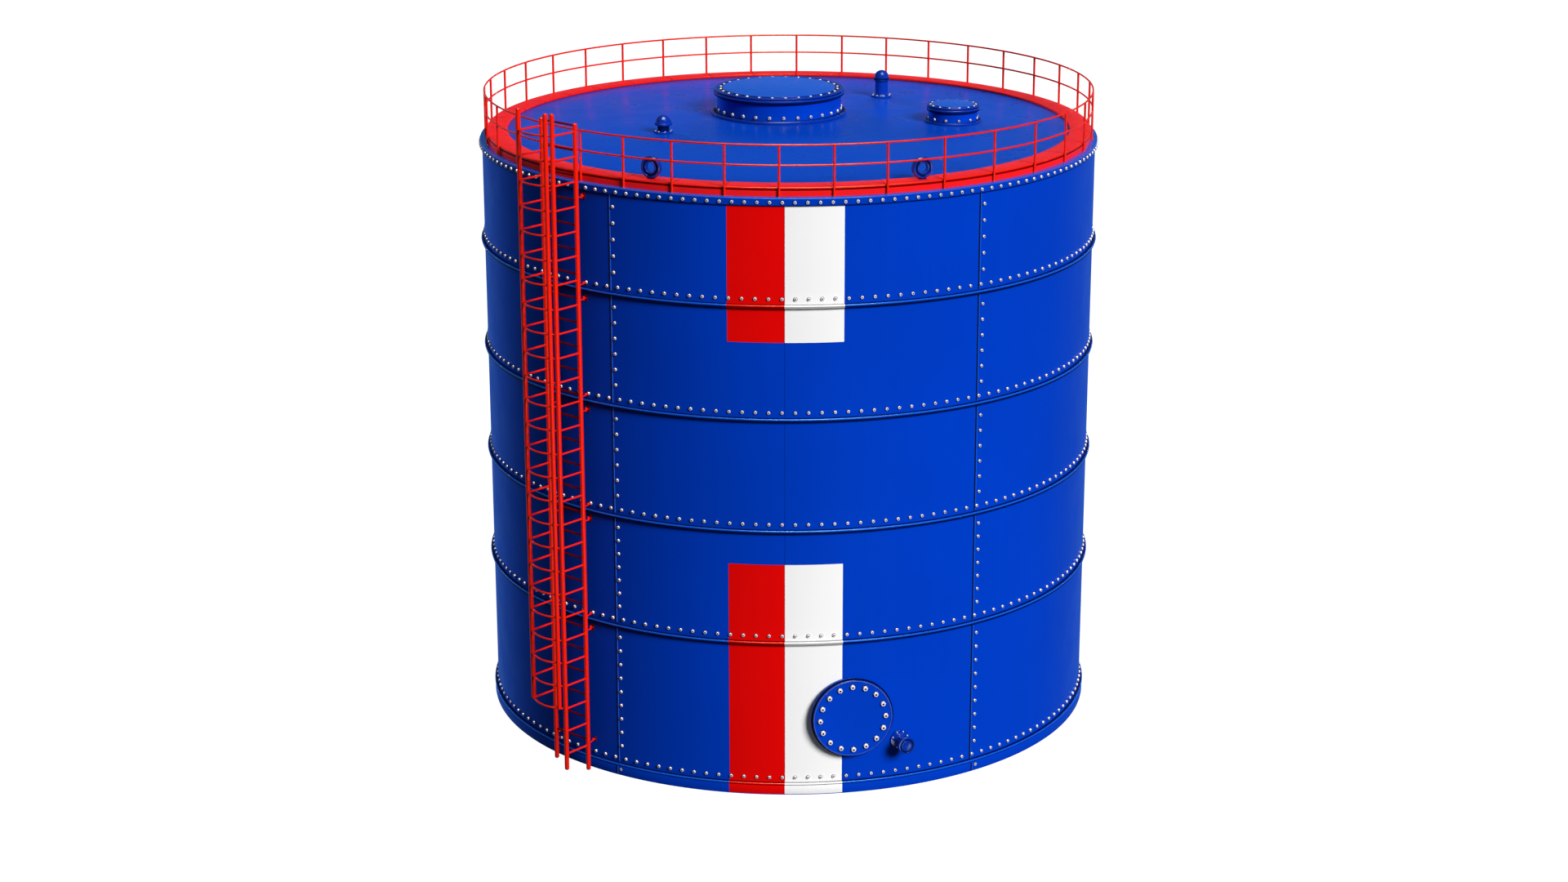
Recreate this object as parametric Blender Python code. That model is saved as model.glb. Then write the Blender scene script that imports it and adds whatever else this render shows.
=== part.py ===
"""Vertical steel storage tank with stiffening rings, roof walkway, guard rail and caged ladder.

Metres, +Z up. The origin is on the ground at the centre of the shell. Azimuths are in degrees:
0 faces -Y, the front of the tank, and they grow towards +X.
"""
import math

import bmesh
import bpy
from mathutils import Matrix, Vector

# Fit between touching pieces, and the distance at which a piece's own points merge
GAP = 0.0003
MERGE = 0.00001

# Shell
RADIUS = 4.265
WALL = 0.010
FLOOR_THICKNESS = 0.010
FLOOR_LIP = 0.045
SHELL_TOP = 8.10
FRONT_SEAMS = (-32.9, -0.7, 35.3)
PLATE_COUNT = 7
FACET_ANGLE = 6.0

# Stiffening rings, from the lowest to the highest
RING_HEIGHTS = (2.16, 3.71, 5.23, 6.74)
RING_DEPTH = 0.055
RING_THICKNESS = 0.060
BASE_RING_TOP = 0.17
BASE_LEDGE_THICKNESS = 0.04
BASE_STRIP_DEPTH = 0.047

# Top flange, roof and walkway
FLANGE_TOP = 8.15
FLANGE_LEG = 0.105
FLANGE_DEPTH = 0.030
FLANGE_INNER = 4.10
WALKWAY_TOP = 8.27
WALKWAY_OUTER = 4.20
WALKWAY_INNER = 3.91
WALKWAY_SKIRT = 0.010
ROOF_TOP = 8.238

# Guard rail: stretches of equal bays as (first azimuth, last azimuth, bays), once round the tank
RAIL_STRETCHES = ((17.3, 93.1, 7), (93.1, 377.3, 30))
RAIL_PANELS = 9
POST_RADIUS = 0.016
RAIL_RADIUS = 0.0125
RAIL_HEIGHTS = (8.555, 8.815)
RAIL_SIDES = 6

# Caged ladder
LADDER_AZIMUTH = -41.79
LADDER_HALF_WIDTH = 0.309
LADDER_DISTANCE = 4.441
CAGE_DISTANCE = 4.845
CAGE_BULGE = 0.10
CAGE_MIDDLE_SHARE = 0.87
HOOP_SHARES = (0.2, 0.4, 0.6)
HOOP_REACH = 1.4
BAR_RADIUS = 0.031
BAR_SIDES = 8
RUNG_RADIUS = 0.014
RUNG_SIDES = 4
STILE_FOOT = 0.02
STILE_TOP = 8.96
CAGE_TOP = 9.14
CAGE_BOTTOM = 1.02
OUTER_STILE_FOOT = 0.15
RUNG_PITCH = 0.3255
FIRST_HOOP = 0.385
HOOP_COUNT = 27
FIRST_FULL_HOOP = 2
RUNG_LIFT = 0.08
BRACKET_DROP = 0.12
FOOT_BRACKET_RISE = 0.24
BRACKET_RADIUS = 0.020

# Manhole and drain in the shell, which start this far from the wall's curve
WALL_STANDOFF = 0.001
MANHOLE_AZIMUTH = 11.27
MANHOLE_HEIGHT = 1.096
MANHOLE_NECK_RADIUS = 0.49
MANHOLE_COVER_RADIUS = 0.56
MANHOLE_PROUD = 0.13
MANHOLE_COVER_THICKNESS = 0.06
MANHOLE_RIM_STEP = 0.018
DRAIN_AZIMUTH = 20.4
DRAIN_HEIGHT = 0.68
DRAIN_LENGTH = 0.27
DRAIN_PAD_RADIUS = 0.135
DRAIN_PAD_THICKNESS = 0.03
DRAIN_BARREL_RADIUS = 0.068
DRAIN_FLANGE_RADIUS = 0.125
DRAIN_FLANGE_THICKNESS = 0.045

# Roof fittings: centre, then radii and heights above the roof
ROOF_HATCH_CENTRE = (-0.138, 0.99)
ROOF_HATCH_RADIUS = 0.90
ROOF_HATCH_FLANGE = 0.97
ROOF_HATCH_LID = 0.938
ROOF_HATCH_HEIGHT = 0.37
SIDE_HATCH_CENTRE = (2.312, 0.355)
SIDE_HATCH_RADIUS = 0.348
SIDE_HATCH_FLANGE = 0.406
SIDE_HATCH_LID = 0.377
SIDE_HATCH_HEIGHT = 0.25
HATCH_FLANGE_THICKNESS = 0.05
HATCH_LID_THICKNESS = 0.09
HATCH_LID_STEP = 0.015
HATCH_RIM_WIDTH = 0.075
VENT_CENTRE = (1.362, 2.228)
VENT_FLANGE = 0.152
VENT_FLANGE_THICKNESS = 0.03
VENT_PIPE = 0.096
VENT_CAP = 0.119
VENT_CAP_DROP = 0.04
VENT_RADIUS = 0.108
VENT_HEIGHT = 0.39
SIDE_VENT_CENTRE = (-1.728, -0.49)
SIDE_VENT_FLANGE = 0.131
SIDE_VENT_COLLAR = 0.03
SIDE_VENT_BODY = 0.08
SIDE_VENT_RADIUS = 0.106
SIDE_VENT_HEIGHT = 0.25
DOME_STEPS = 4
EYE_AZIMUTHS = (-25.7, 24.9)
EYE_RADIUS_FROM_AXIS = 4.05
EYE_OUTER_RADIUS = 0.146
EYE_HOLE_RADIUS = 0.064
EYE_THICKNESS = 0.08
EYE_STEP = 0.02
EYE_FOOT_HEIGHT = 0.05

ROUND_SEGMENTS = 32
SMALL_SEGMENTS = 20


def clear_scene():
    for old in list(bpy.data.objects):
        bpy.data.objects.remove(old, do_unlink=True)


def painted(name, colour, roughness, metallic=0.0):
    surface = bpy.data.materials.new(name)
    surface.use_nodes = True
    shader = surface.node_tree.nodes["Principled BSDF"]
    shader.inputs["Base Color"].default_value = (*colour, 1.0)
    shader.inputs["Roughness"].default_value = roughness
    shader.inputs["Metallic"].default_value = metallic
    return surface


def polar(radius, azimuth, height):
    angle = math.radians(azimuth)
    return Vector((radius * math.sin(angle), -radius * math.cos(angle), height))


def finish_object(name, bm, surface, sharp_angle=35.0):
    bmesh.ops.recalc_face_normals(bm, faces=bm.faces)
    mesh = bpy.data.meshes.new(name)
    bm.to_mesh(mesh)
    bm.free()
    mesh.shade_smooth()
    mesh.set_sharp_from_angle(angle=math.radians(sharp_angle))
    mesh.materials.append(surface)
    obj = bpy.data.objects.new(name, mesh)
    bpy.context.scene.collection.objects.link(obj)
    return obj


def seam_azimuths():
    """Vertical seams, one more than the plates: the last repeats the first a turn later."""
    left, middle, right = FRONT_SEAMS
    rest = PLATE_COUNT - 2
    pitch = (360.0 + left - right) / rest
    return [left, middle] + [right + pitch * step for step in range(rest + 1)]


def facet_azimuths(start, end):
    """Azimuths that divide a plate into flat facets, with both of its ends."""
    count = round((end - start) / FACET_ANGLE)
    return [start + (end - start) * step / count for step in range(count + 1)]


def wall_azimuths():
    """Azimuths of all the facet edges round the shell, without the closing one."""
    seams = seam_azimuths()
    return [azimuth for start, end in zip(seams, seams[1:]) for azimuth in facet_azimuths(start, end)[:-1]]


def ring_body(bm, profile, azimuths, closed):
    """Carry a closed profile of (radius, height) points round the axis of the tank."""
    sections = [[bm.verts.new(polar(radius, azimuth, height)) for radius, height in profile]
                for azimuth in azimuths]
    count = len(profile)
    pairs = list(zip(sections, sections[1:]))
    if closed:
        pairs.append((sections[-1], sections[0]))
    for first, second in pairs:
        for index in range(count):
            following = (index + 1) % count
            bm.faces.new((first[index], second[index], second[following], first[following]))
    if not closed:
        bm.faces.new(sections[0])
        bm.faces.new(list(reversed(sections[-1])))


def wall_ring(name, profile, surface):
    bm = bmesh.new()
    ring_body(bm, profile, wall_azimuths(), closed=True)
    return finish_object(name, bm, surface)


def wall_disc(name, radius, bottom, top, surface):
    bm = bmesh.new()
    rim = [bm.verts.new(polar(radius, azimuth, bottom)) for azimuth in wall_azimuths()]
    base = bm.faces.new(rim)
    grown = bmesh.ops.extrude_face_region(bm, geom=[base])
    lifted = [item for item in grown["geom"] if isinstance(item, bmesh.types.BMVert)]
    bmesh.ops.translate(bm, verts=lifted, vec=(0.0, 0.0, top - bottom))
    return finish_object(name, bm, surface)


def spun(profile, place, segments):
    """Spin a closed profile of (radius, height) points about its own axis, then place it."""
    bm = bmesh.new()
    verts = [bm.verts.new((radius, 0.0, height)) for radius, height in profile]
    edges = [bm.edges.new(pair) for pair in zip(verts, verts[1:] + verts[:1])]
    bmesh.ops.spin(bm, geom=verts + edges, cent=(0.0, 0.0, 0.0), axis=(0.0, 0.0, 1.0),
                   angle=math.tau, steps=segments, use_merge=True)
    bmesh.ops.remove_doubles(bm, verts=bm.verts, dist=MERGE)
    bmesh.ops.dissolve_degenerate(bm, dist=MERGE, edges=bm.edges)
    bmesh.ops.transform(bm, matrix=place, verts=bm.verts)
    return bm


def turned(name, profile, surface, place, segments=ROUND_SEGMENTS):
    return finish_object(name, spun(profile, place, segments), surface)


def upright(centre, height):
    return Matrix.Translation((centre[0], centre[1], height))


def facing_out(azimuth, radius, height):
    """Place whose local +Z points out of the shell at this azimuth."""
    tilt = Matrix.Rotation(math.radians(90.0), 4, "X")
    return Matrix.Translation(polar(radius, azimuth, height)) @ Matrix.Rotation(
        math.radians(azimuth), 4, "Z") @ tilt


def rod(bm, start, end, radius, sides, flat_towards):
    """Add a capped prism whose first flat faces as near flat_towards as its axis allows."""
    start = Vector(start)
    end = Vector(end)
    along = (end - start).normalized()
    facing = Vector(flat_towards)
    facing = (facing - along * facing.dot(along)).normalized()
    across = along.cross(facing)
    rings = []
    for centre in (start, end):
        ring = []
        for index in range(sides):
            turn = math.tau * (index + 0.5) / sides
            reach = facing * math.cos(turn) + across * math.sin(turn)
            ring.append(bm.verts.new(centre + radius * reach))
        rings.append(ring)
    first, last = rings
    for index in range(sides):
        following = (index + 1) % sides
        bm.faces.new((first[index], first[following], last[following], last[index]))
    bm.faces.new(list(reversed(first)))
    bm.faces.new(last)


def bent_rod(bm, points, radius, sides, first_cut=None, last_cut=None):
    """Add a capped prism along level points, mitred at every bend; the cuts turn its end faces."""
    points = [Vector(point) for point in points]
    up = Vector((0.0, 0.0, 1.0))
    runs = [(after - before).normalized() for before, after in zip(points, points[1:])]
    arrivals = [first_cut or runs[0], *runs]
    departures = [*runs, last_cut or runs[-1]]
    rings = []
    for index, centre in enumerate(points):
        along = (arrivals[index] + departures[index]).normalized()
        if index == 0:
            along = arrivals[0]
        if index == len(runs):
            along = departures[-1]
        stretch = 1.0 / along.dot(runs[min(index, len(runs) - 1)])
        across = along.cross(up) * stretch
        turns = [math.tau * (step + 0.5) / sides for step in range(sides)]
        reaches = [up * math.cos(turn) + across * math.sin(turn) for turn in turns]
        rings.append([bm.verts.new(centre + radius * reach) for reach in reaches])
    for first, second in zip(rings, rings[1:]):
        for index in range(sides):
            following = (index + 1) % sides
            bm.faces.new((first[index], first[following], second[following], second[index]))
    bm.faces.new(list(reversed(rings[0])))
    bm.faces.new(rings[-1])


def fused(name, trunk, branches, surface):
    """Unite a trunk mesh with the overlapping bars that it carries into one closed body."""
    body = finish_object(name, trunk, surface)
    arms = finish_object(name + "_arms", branches, surface)
    arms.hide_render = True
    arms.display_type = "WIRE"
    union = body.modifiers.new("union", "BOOLEAN")
    union.operation = "UNION"
    union.solver = "EXACT"
    union.use_self = True
    union.object = arms
    seen = body.evaluated_get(bpy.context.evaluated_depsgraph_get())
    joined = bpy.data.meshes.new_from_object(seen)
    body.modifiers.clear()
    body.data = joined
    bpy.data.objects.remove(arms, do_unlink=True)
    return body


def build_shell(blue):
    wall_disc("floor_plate", RADIUS + FLOOR_LIP, 0.0, FLOOR_THICKNESS, blue)
    bottom = FLOOR_THICKNESS + GAP
    top = SHELL_TOP - GAP
    inner = RADIUS - WALL
    profile = [(inner, bottom), (RADIUS, bottom), (RADIUS, top), (inner, top)]
    seams = seam_azimuths()
    half_gap = math.degrees(GAP / 2 / RADIUS)
    for index, (start, end) in enumerate(zip(seams, seams[1:])):
        azimuths = facet_azimuths(start, end)
        azimuths[0] += half_gap
        azimuths[-1] -= half_gap
        bm = bmesh.new()
        ring_body(bm, profile, azimuths, closed=False)
        finish_object(f"shell_plate_{index + 1}", bm, blue)


def build_rings(blue):
    inner = RADIUS + GAP
    outer = RADIUS + RING_DEPTH
    base = FLOOR_THICKNESS + GAP
    strip = RADIUS + BASE_STRIP_DEPTH
    ledge = BASE_RING_TOP - BASE_LEDGE_THICKNESS
    wall_ring("base_ring", [(inner, base), (strip, base), (strip, ledge), (outer, ledge),
                            (outer, BASE_RING_TOP), (inner, BASE_RING_TOP)], blue)
    for index, height in enumerate(RING_HEIGHTS):
        low = height - RING_THICKNESS / 2
        high = height + RING_THICKNESS / 2
        profile = [(inner, low), (outer, low), (outer, high), (inner, high)]
        wall_ring(f"stiffening_ring_{index + 1}", profile, blue)
    face = RADIUS + FLANGE_DEPTH
    foot = FLANGE_TOP - FLANGE_LEG
    wall_ring("top_flange", [(FLANGE_INNER, SHELL_TOP), (inner, SHELL_TOP), (inner, foot), (face, foot),
                             (face, FLANGE_TOP), (FLANGE_INNER, FLANGE_TOP)], blue)


def build_roof(blue, red):
    skirt = WALKWAY_OUTER - WALKWAY_SKIRT
    foot = FLANGE_TOP + GAP
    deck = ROOF_TOP + GAP
    wall_disc("roof_plate", skirt - GAP, foot, ROOF_TOP, blue)
    wall_ring("walkway", [(WALKWAY_INNER, deck), (skirt, deck), (skirt, foot), (WALKWAY_OUTER, foot),
                          (WALKWAY_OUTER, WALKWAY_TOP), (WALKWAY_INNER, WALKWAY_TOP)], red)


def post_azimuths():
    return [start + (end - start) * bay / bays
            for start, end, bays in RAIL_STRETCHES for bay in range(bays)]


def build_guard_rail(red):
    """Panels of four or five posts, which meet halfway between two posts."""
    radius = WALKWAY_OUTER + GAP + POST_RADIUS
    foot = FLANGE_TOP + GAP
    top = RAIL_HEIGHTS[-1] + RAIL_RADIUS / 2
    end_gap = math.degrees(GAP / 2 / radius)
    posts = post_azimuths()
    around = [posts[-1] - 360.0, *posts, posts[0] + 360.0]
    middles = [(before + after) / 2 for before, after in zip(around, around[1:])]
    for panel in range(RAIL_PANELS):
        first = len(posts) * panel // RAIL_PANELS
        last = len(posts) * (panel + 1) // RAIL_PANELS
        azimuths = [middles[first] + end_gap]
        for index in range(first, last):
            azimuths += [posts[index], middles[index + 1]]
        azimuths[-1] -= end_gap
        cuts = [polar(1.0, azimuth + 90.0, 0.0) for azimuth in (azimuths[0], azimuths[-1])]
        rails = bmesh.new()
        for height in RAIL_HEIGHTS:
            route = [polar(radius, azimuth, height) for azimuth in azimuths]
            bent_rod(rails, route, RAIL_RADIUS, RAIL_SIDES, *cuts)
        bars = bmesh.new()
        for azimuth in posts[first:last]:
            ends = [polar(radius, azimuth, height) for height in (foot, top)]
            rod(bars, *ends, POST_RADIUS, RAIL_SIDES, polar(1.0, azimuth, 0.0))
        fused(f"guard_rail_panel_{panel + 1}", bars, rails, red)


def hoop_heights():
    return [FIRST_HOOP + RUNG_PITCH * level for level in range(HOOP_COUNT)]


def flat_distance(radius, sides):
    return radius * math.cos(math.pi / sides)


def ladder_out():
    return polar(1.0, LADDER_AZIMUTH, 0.0)


def ladder_point(side, distance, height):
    """A point of the ladder: side along the wall, distance from the axis of the tank."""
    along_wall = polar(1.0, LADDER_AZIMUTH + 90.0, 0.0)
    return ladder_out() * distance + along_wall * side + Vector((0.0, 0.0, height))


def upright_bar(bm, side, distance, foot, top):
    ends = [ladder_point(side, distance, height) for height in (foot, top)]
    rod(bm, *ends, BAR_RADIUS, BAR_SIDES, ladder_out())


def build_ladder(red):
    ends = (-LADDER_HALF_WIDTH, LADDER_HALF_WIDTH)
    up = (0.0, 0.0, 1.0)
    stiles = bmesh.new()
    for side in ends:
        upright_bar(stiles, side, LADDER_DISTANCE, STILE_FOOT, STILE_TOP)
    bars = bmesh.new()
    for height in hoop_heights():
        rung = height + RUNG_LIFT
        if rung < STILE_TOP:
            reach = [ladder_point(side, LADDER_DISTANCE, rung) for side in ends]
            rod(bars, *reach, RUNG_RADIUS, RUNG_SIDES, up)
    levels = [BASE_RING_TOP + FOOT_BRACKET_RISE]
    levels += [height - BRACKET_DROP for height in (*RING_HEIGHTS, SHELL_TOP)]
    wall = math.sqrt(RADIUS ** 2 - (LADDER_HALF_WIDTH - BRACKET_RADIUS) ** 2) + GAP
    for height in levels:
        for side in ends:
            reach = [ladder_point(side, distance, height) for distance in (wall, LADDER_DISTANCE)]
            rod(bars, *reach, BRACKET_RADIUS, RUNG_SIDES, up)
    fused("ladder", stiles, bars, red)


def hoop_point(share, height):
    """A point of a hoop of the cage, at a share of the way from its left end to its right one."""
    side = LADDER_HALF_WIDTH * (2.0 * share - 1.0)
    return ladder_point(side, CAGE_DISTANCE + CAGE_BULGE * math.sin(math.pi * share), height)


def build_cage(red):
    clear = flat_distance(BAR_RADIUS, BAR_SIDES) + GAP
    heights = hoop_heights()
    sides = (("cage_left_side", -LADDER_HALF_WIDTH, CAGE_BOTTOM, heights[FIRST_FULL_HOOP:]),
             ("cage_right_side", LADDER_HALF_WIDTH, OUTER_STILE_FOOT, heights))
    for name, side, foot, levels in sides:
        stile = bmesh.new()
        upright_bar(stile, side, CAGE_DISTANCE, foot, CAGE_TOP)
        arms = bmesh.new()
        for height in levels:
            reach = [ladder_point(side, distance, height)
                     for distance in (LADDER_DISTANCE + clear, CAGE_DISTANCE)]
            rod(arms, *reach, RUNG_RADIUS, RUNG_SIDES, (0.0, 0.0, 1.0))
        fused(name, stile, arms, red)
    bar = bmesh.new()
    ends = [hoop_point(CAGE_MIDDLE_SHARE, height) for height in (CAGE_BOTTOM, CAGE_TOP)]
    rod(bar, *ends, BAR_RADIUS, BAR_SIDES, ladder_out())
    hoops = bmesh.new()
    for height in heights[FIRST_FULL_HOOP:]:
        left, right = [[ladder_point(side * (LADDER_HALF_WIDTH - clear * reach), CAGE_DISTANCE, height)
                        for reach in (1.0, HOOP_REACH)] for side in (-1, 1)]
        bow = [hoop_point(share, height) for share in (*HOOP_SHARES, CAGE_MIDDLE_SHARE)]
        bent_rod(hoops, left + bow + right[::-1], RUNG_RADIUS, RUNG_SIDES)
    fused("cage_front", bar, hoops, red)


def build_shell_fittings(blue):
    place = facing_out(MANHOLE_AZIMUTH, RADIUS, MANHOLE_HEIGHT)
    neck = MANHOLE_NECK_RADIUS
    neck_end = MANHOLE_PROUD - MANHOLE_COVER_THICKNESS
    turned("manhole_neck", [(0.0, WALL_STANDOFF), (neck, WALL_STANDOFF), (neck, neck_end - GAP),
                            (0.0, neck_end - GAP)], blue, place)
    rim = MANHOLE_COVER_RADIUS
    face = rim - MANHOLE_RIM_STEP
    step = MANHOLE_PROUD - MANHOLE_RIM_STEP
    turned("manhole_cover", [(0.0, neck_end), (rim, neck_end), (rim, step), (face, step),
                             (face, MANHOLE_PROUD), (0.0, MANHOLE_PROUD)], blue, place)
    pad = DRAIN_PAD_RADIUS
    pad_end = DRAIN_PAD_THICKNESS
    barrel = DRAIN_BARREL_RADIUS
    barrel_end = DRAIN_LENGTH - DRAIN_FLANGE_THICKNESS
    flange = DRAIN_FLANGE_RADIUS
    turned("drain_nozzle", [(0.0, WALL_STANDOFF), (pad, WALL_STANDOFF), (pad, pad_end), (barrel, pad_end),
                            (barrel, barrel_end), (flange, barrel_end), (flange, DRAIN_LENGTH),
                            (0.0, DRAIN_LENGTH)], blue, facing_out(DRAIN_AZIMUTH, RADIUS, DRAIN_HEIGHT),
           SMALL_SEGMENTS)


def build_hatch(name, centre, radius, flange, lid, height, blue):
    curb_top = height - HATCH_LID_THICKNESS - GAP
    rim_top = height - HATCH_LID_STEP
    raised = lid - HATCH_RIM_WIDTH
    place = upright(centre, ROOF_TOP + GAP)
    lid_base = curb_top + GAP
    foot = HATCH_FLANGE_THICKNESS
    turned(name + "_curb", [(0.0, 0.0), (flange, 0.0), (flange, foot), (radius, foot), (radius, curb_top),
                            (0.0, curb_top)], blue, place)
    turned(name + "_lid", [(0.0, lid_base), (lid, lid_base), (lid, rim_top), (raised, rim_top),
                           (raised, height), (0.0, height)], blue, place)


def dome_points(radius, base):
    turns = [math.pi / 2 * step / DOME_STEPS for step in range(DOME_STEPS + 1)]
    return [(radius * math.cos(turn), base + radius * math.sin(turn)) for turn in turns]


def build_roof_fittings(blue):
    build_hatch("roof_hatch", ROOF_HATCH_CENTRE, ROOF_HATCH_RADIUS, ROOF_HATCH_FLANGE, ROOF_HATCH_LID,
                ROOF_HATCH_HEIGHT, blue)
    build_hatch("side_hatch", SIDE_HATCH_CENTRE, SIDE_HATCH_RADIUS, SIDE_HATCH_FLANGE, SIDE_HATCH_LID,
                SIDE_HATCH_HEIGHT, blue)
    place = upright(VENT_CENTRE, ROOF_TOP + GAP)
    shoulder = VENT_HEIGHT - VENT_RADIUS
    cap_base = shoulder - VENT_CAP_DROP
    pipe_top = cap_base - GAP
    turned("vent_pipe", [(0.0, 0.0), (VENT_FLANGE, 0.0), (VENT_FLANGE, VENT_FLANGE_THICKNESS),
                         (VENT_PIPE, VENT_FLANGE_THICKNESS), (VENT_PIPE, pipe_top), (0.0, pipe_top)],
           blue, place, SMALL_SEGMENTS)
    turned("vent_cap", [(0.0, cap_base), (VENT_CAP, cap_base), (VENT_CAP, shoulder),
                        *dome_points(VENT_RADIUS, shoulder)], blue, place, SMALL_SEGMENTS)
    shoulder = SIDE_VENT_HEIGHT - SIDE_VENT_RADIUS
    collar = SIDE_VENT_COLLAR
    turned("side_vent", [(0.0, 0.0), (SIDE_VENT_FLANGE, 0.0), (SIDE_VENT_FLANGE, collar),
                         (SIDE_VENT_BODY, collar), (SIDE_VENT_BODY, shoulder - collar),
                         (SIDE_VENT_FLANGE, shoulder - collar), (SIDE_VENT_FLANGE, shoulder),
                         *dome_points(SIDE_VENT_RADIUS, shoulder)],
           blue, upright(SIDE_VENT_CENTRE, ROOF_TOP + GAP), SMALL_SEGMENTS)


def build_eye(name, azimuth, blue):
    """A thick ring that stands on the walkway on a small foot and faces outwards."""
    stand = WALKWAY_TOP + GAP
    place = facing_out(azimuth, EYE_RADIUS_FROM_AXIS, stand + EYE_OUTER_RADIUS)
    half = EYE_THICKNESS / 2
    inner = EYE_OUTER_RADIUS - EYE_STEP
    profile = [(EYE_HOLE_RADIUS, -half), (inner, -half), (EYE_OUTER_RADIUS, -half + EYE_STEP),
               (EYE_OUTER_RADIUS, half - EYE_STEP), (inner, half), (EYE_HOLE_RADIUS, half)]
    ring = spun(profile, place, SMALL_SEGMENTS)
    foot = bmesh.new()
    bottom = polar(EYE_RADIUS_FROM_AXIS, azimuth, stand)
    rod(foot, bottom, bottom + Vector((0.0, 0.0, EYE_FOOT_HEIGHT)), half * math.sqrt(2.0), 4,
        polar(1.0, azimuth, 0.0))
    fused(name, ring, foot, blue)


def main():
    clear_scene()
    blue = painted("blue_paint", (0.0, 0.04, 0.50), 0.35)
    red = painted("red_paint", (0.62, 0.01, 0.01), 0.40)
    build_shell(blue)
    build_rings(blue)
    build_roof(blue, red)
    build_guard_rail(red)
    build_ladder(red)
    build_cage(red)
    build_shell_fittings(blue)
    build_roof_fittings(blue)
    for side, azimuth in zip(("left", "right"), EYE_AZIMUTHS):
        build_eye(f"roof_eye_{side}", azimuth, blue)


main()
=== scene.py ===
"""Looks of the vertical storage tank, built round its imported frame.

Metres, +Z up, origin on the ground at the centre of the shell. Azimuths are in degrees:
0 faces -Y, the front of the tank, and they grow towards +X.
"""
import math
import random

import bmesh
import bpy
import numpy as np
from mathutils import Matrix, Vector


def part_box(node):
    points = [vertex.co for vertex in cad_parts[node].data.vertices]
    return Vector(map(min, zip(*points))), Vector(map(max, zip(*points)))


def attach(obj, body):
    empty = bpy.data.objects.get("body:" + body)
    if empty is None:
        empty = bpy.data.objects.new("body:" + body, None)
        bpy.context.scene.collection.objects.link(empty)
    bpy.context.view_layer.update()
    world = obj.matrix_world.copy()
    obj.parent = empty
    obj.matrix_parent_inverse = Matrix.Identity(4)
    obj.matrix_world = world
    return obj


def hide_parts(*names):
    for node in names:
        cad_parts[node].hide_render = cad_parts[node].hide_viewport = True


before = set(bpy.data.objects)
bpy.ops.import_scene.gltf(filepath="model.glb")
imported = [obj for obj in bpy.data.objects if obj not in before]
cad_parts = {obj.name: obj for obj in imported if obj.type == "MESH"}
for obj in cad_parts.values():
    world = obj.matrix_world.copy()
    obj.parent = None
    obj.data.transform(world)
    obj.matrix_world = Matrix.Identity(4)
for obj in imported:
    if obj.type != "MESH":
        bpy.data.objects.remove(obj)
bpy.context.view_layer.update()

# Shell, as the CAD model has it
RADIUS = 4.265
WALL = 0.010
GAP = 0.0003
FRONT_SEAMS = (-32.9, -0.7, 35.3)
PLATE_COUNT = 7
SECTION_STEP = 1.0
PLATE_EASE = 0.002
PLATE_JOINT = 0.003

# Painted stripes: azimuths, then heights, then an azimuth that has none
RED_STRIPE = (-10.66, -0.70)
WHITE_STRIPE = (-0.70, 9.59)
STRIPE_EDGES = (*RED_STRIPE, WHITE_STRIPE[1])
LOWER_STRIPE_TOP = 3.246
UPPER_STRIPE_FOOT = 6.257
UNSTRIPED = 180.0

# Stiffening rings: an edge bead proud of a ledge
RINGS = range(1, 5)
PAINTED_RINGS = (1, 4)
RING_OUTER = RADIUS + 0.049
RING_BEAD = 0.014
BEAD_LIFT = 0.006
RING_LEDGE_OUTER = RING_OUTER - 0.010
RING_LEDGE_TOP = 0.024
RING_LEDGE_FOOT = 0.028
LEDGE_ROUND = 0.003
BASE_STRIP_OUTER = RING_OUTER - 0.006
# Ring finishes: bead paints by stripe colour, the blue one lighter as a painted highlight, then darker copies
# in painted shade for the ledges, then plain paint
RING_SURFACES = ("bead_blue_painted_highlight", "bead_red", "bead_white", "blue_painted_shade", "red_painted_shade", "white_painted_shade",
                 "blue", "red", "white")

# Top flange
FLANGE_OUTER = RADIUS + 0.025
FLANGE_LEG = 0.105
FLANGE_INNER = 4.10
FLANGE_EDGE = 0.016

# Vertical seams: a line of dark sealant, painted shade for the gap's shadow, a strap on its right and a row of
# bolts
STRAP_WIDTH = 0.016
STRAP_PROUD = 0.006
SEALANT_AND_SHADE_WIDTH = 0.020
SEALANT_AND_SHADE_PROUD = 0.0015
SEAM_BOLT_SIDESTEP = 0.95
SEAM_BOLT_PITCH = 0.200
SEAM_BOLT_START = 0.19

# Rows of fasteners
RING_BOLTS = 156
FLANGE_BOLTS = 168
RING_BOLT_LIFT = 0.093
FLANGE_BOLT_DROP = 0.055
RIVET_SIZE = 1.02

# Fastener: rows of (radius, height, six-sided, finish of the band above), from a washer to a stud's end
# Finish 1, the dark sealant finish, is painted shade on the washer round each nut and in the recess round the
# stud
NUT_ROWS = ((0.0268, 0.0000, False, 1), (0.0268, 0.0020, False, 1), (0.0238, 0.0020, True, 0),
            (0.0238, 0.0120, True, 0), (0.0175, 0.0185, False, 0), (0.0088, 0.0195, False, 1),
            (0.0080, 0.0170, False, 1), (0.0060, 0.0175, False, 1))
NUT_SIDES = 12
NUT_TURN = math.radians(12.0)
NUT_SIZE_SPREAD = 0.03

# Walkway and guard rail
WALKWAY_OUTER = 4.20
WALKWAY_INNER = 3.91
WALKWAY_SKIRT = 0.010
RAIL_STRETCHES = ((17.3, 93.1, 7), (93.1, 377.3, 30))
RAIL_PANELS = 9
POST_RADIUS = 0.016
RAIL_RADIUS = 0.0125
RAIL_HEIGHTS = (8.555, 8.815)
DECK_JOINT = 0.010
DECK_LIP = 0.022
DECK_GROOVE = 0.026
DECK_LIP_PROUD = 0.004

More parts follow.
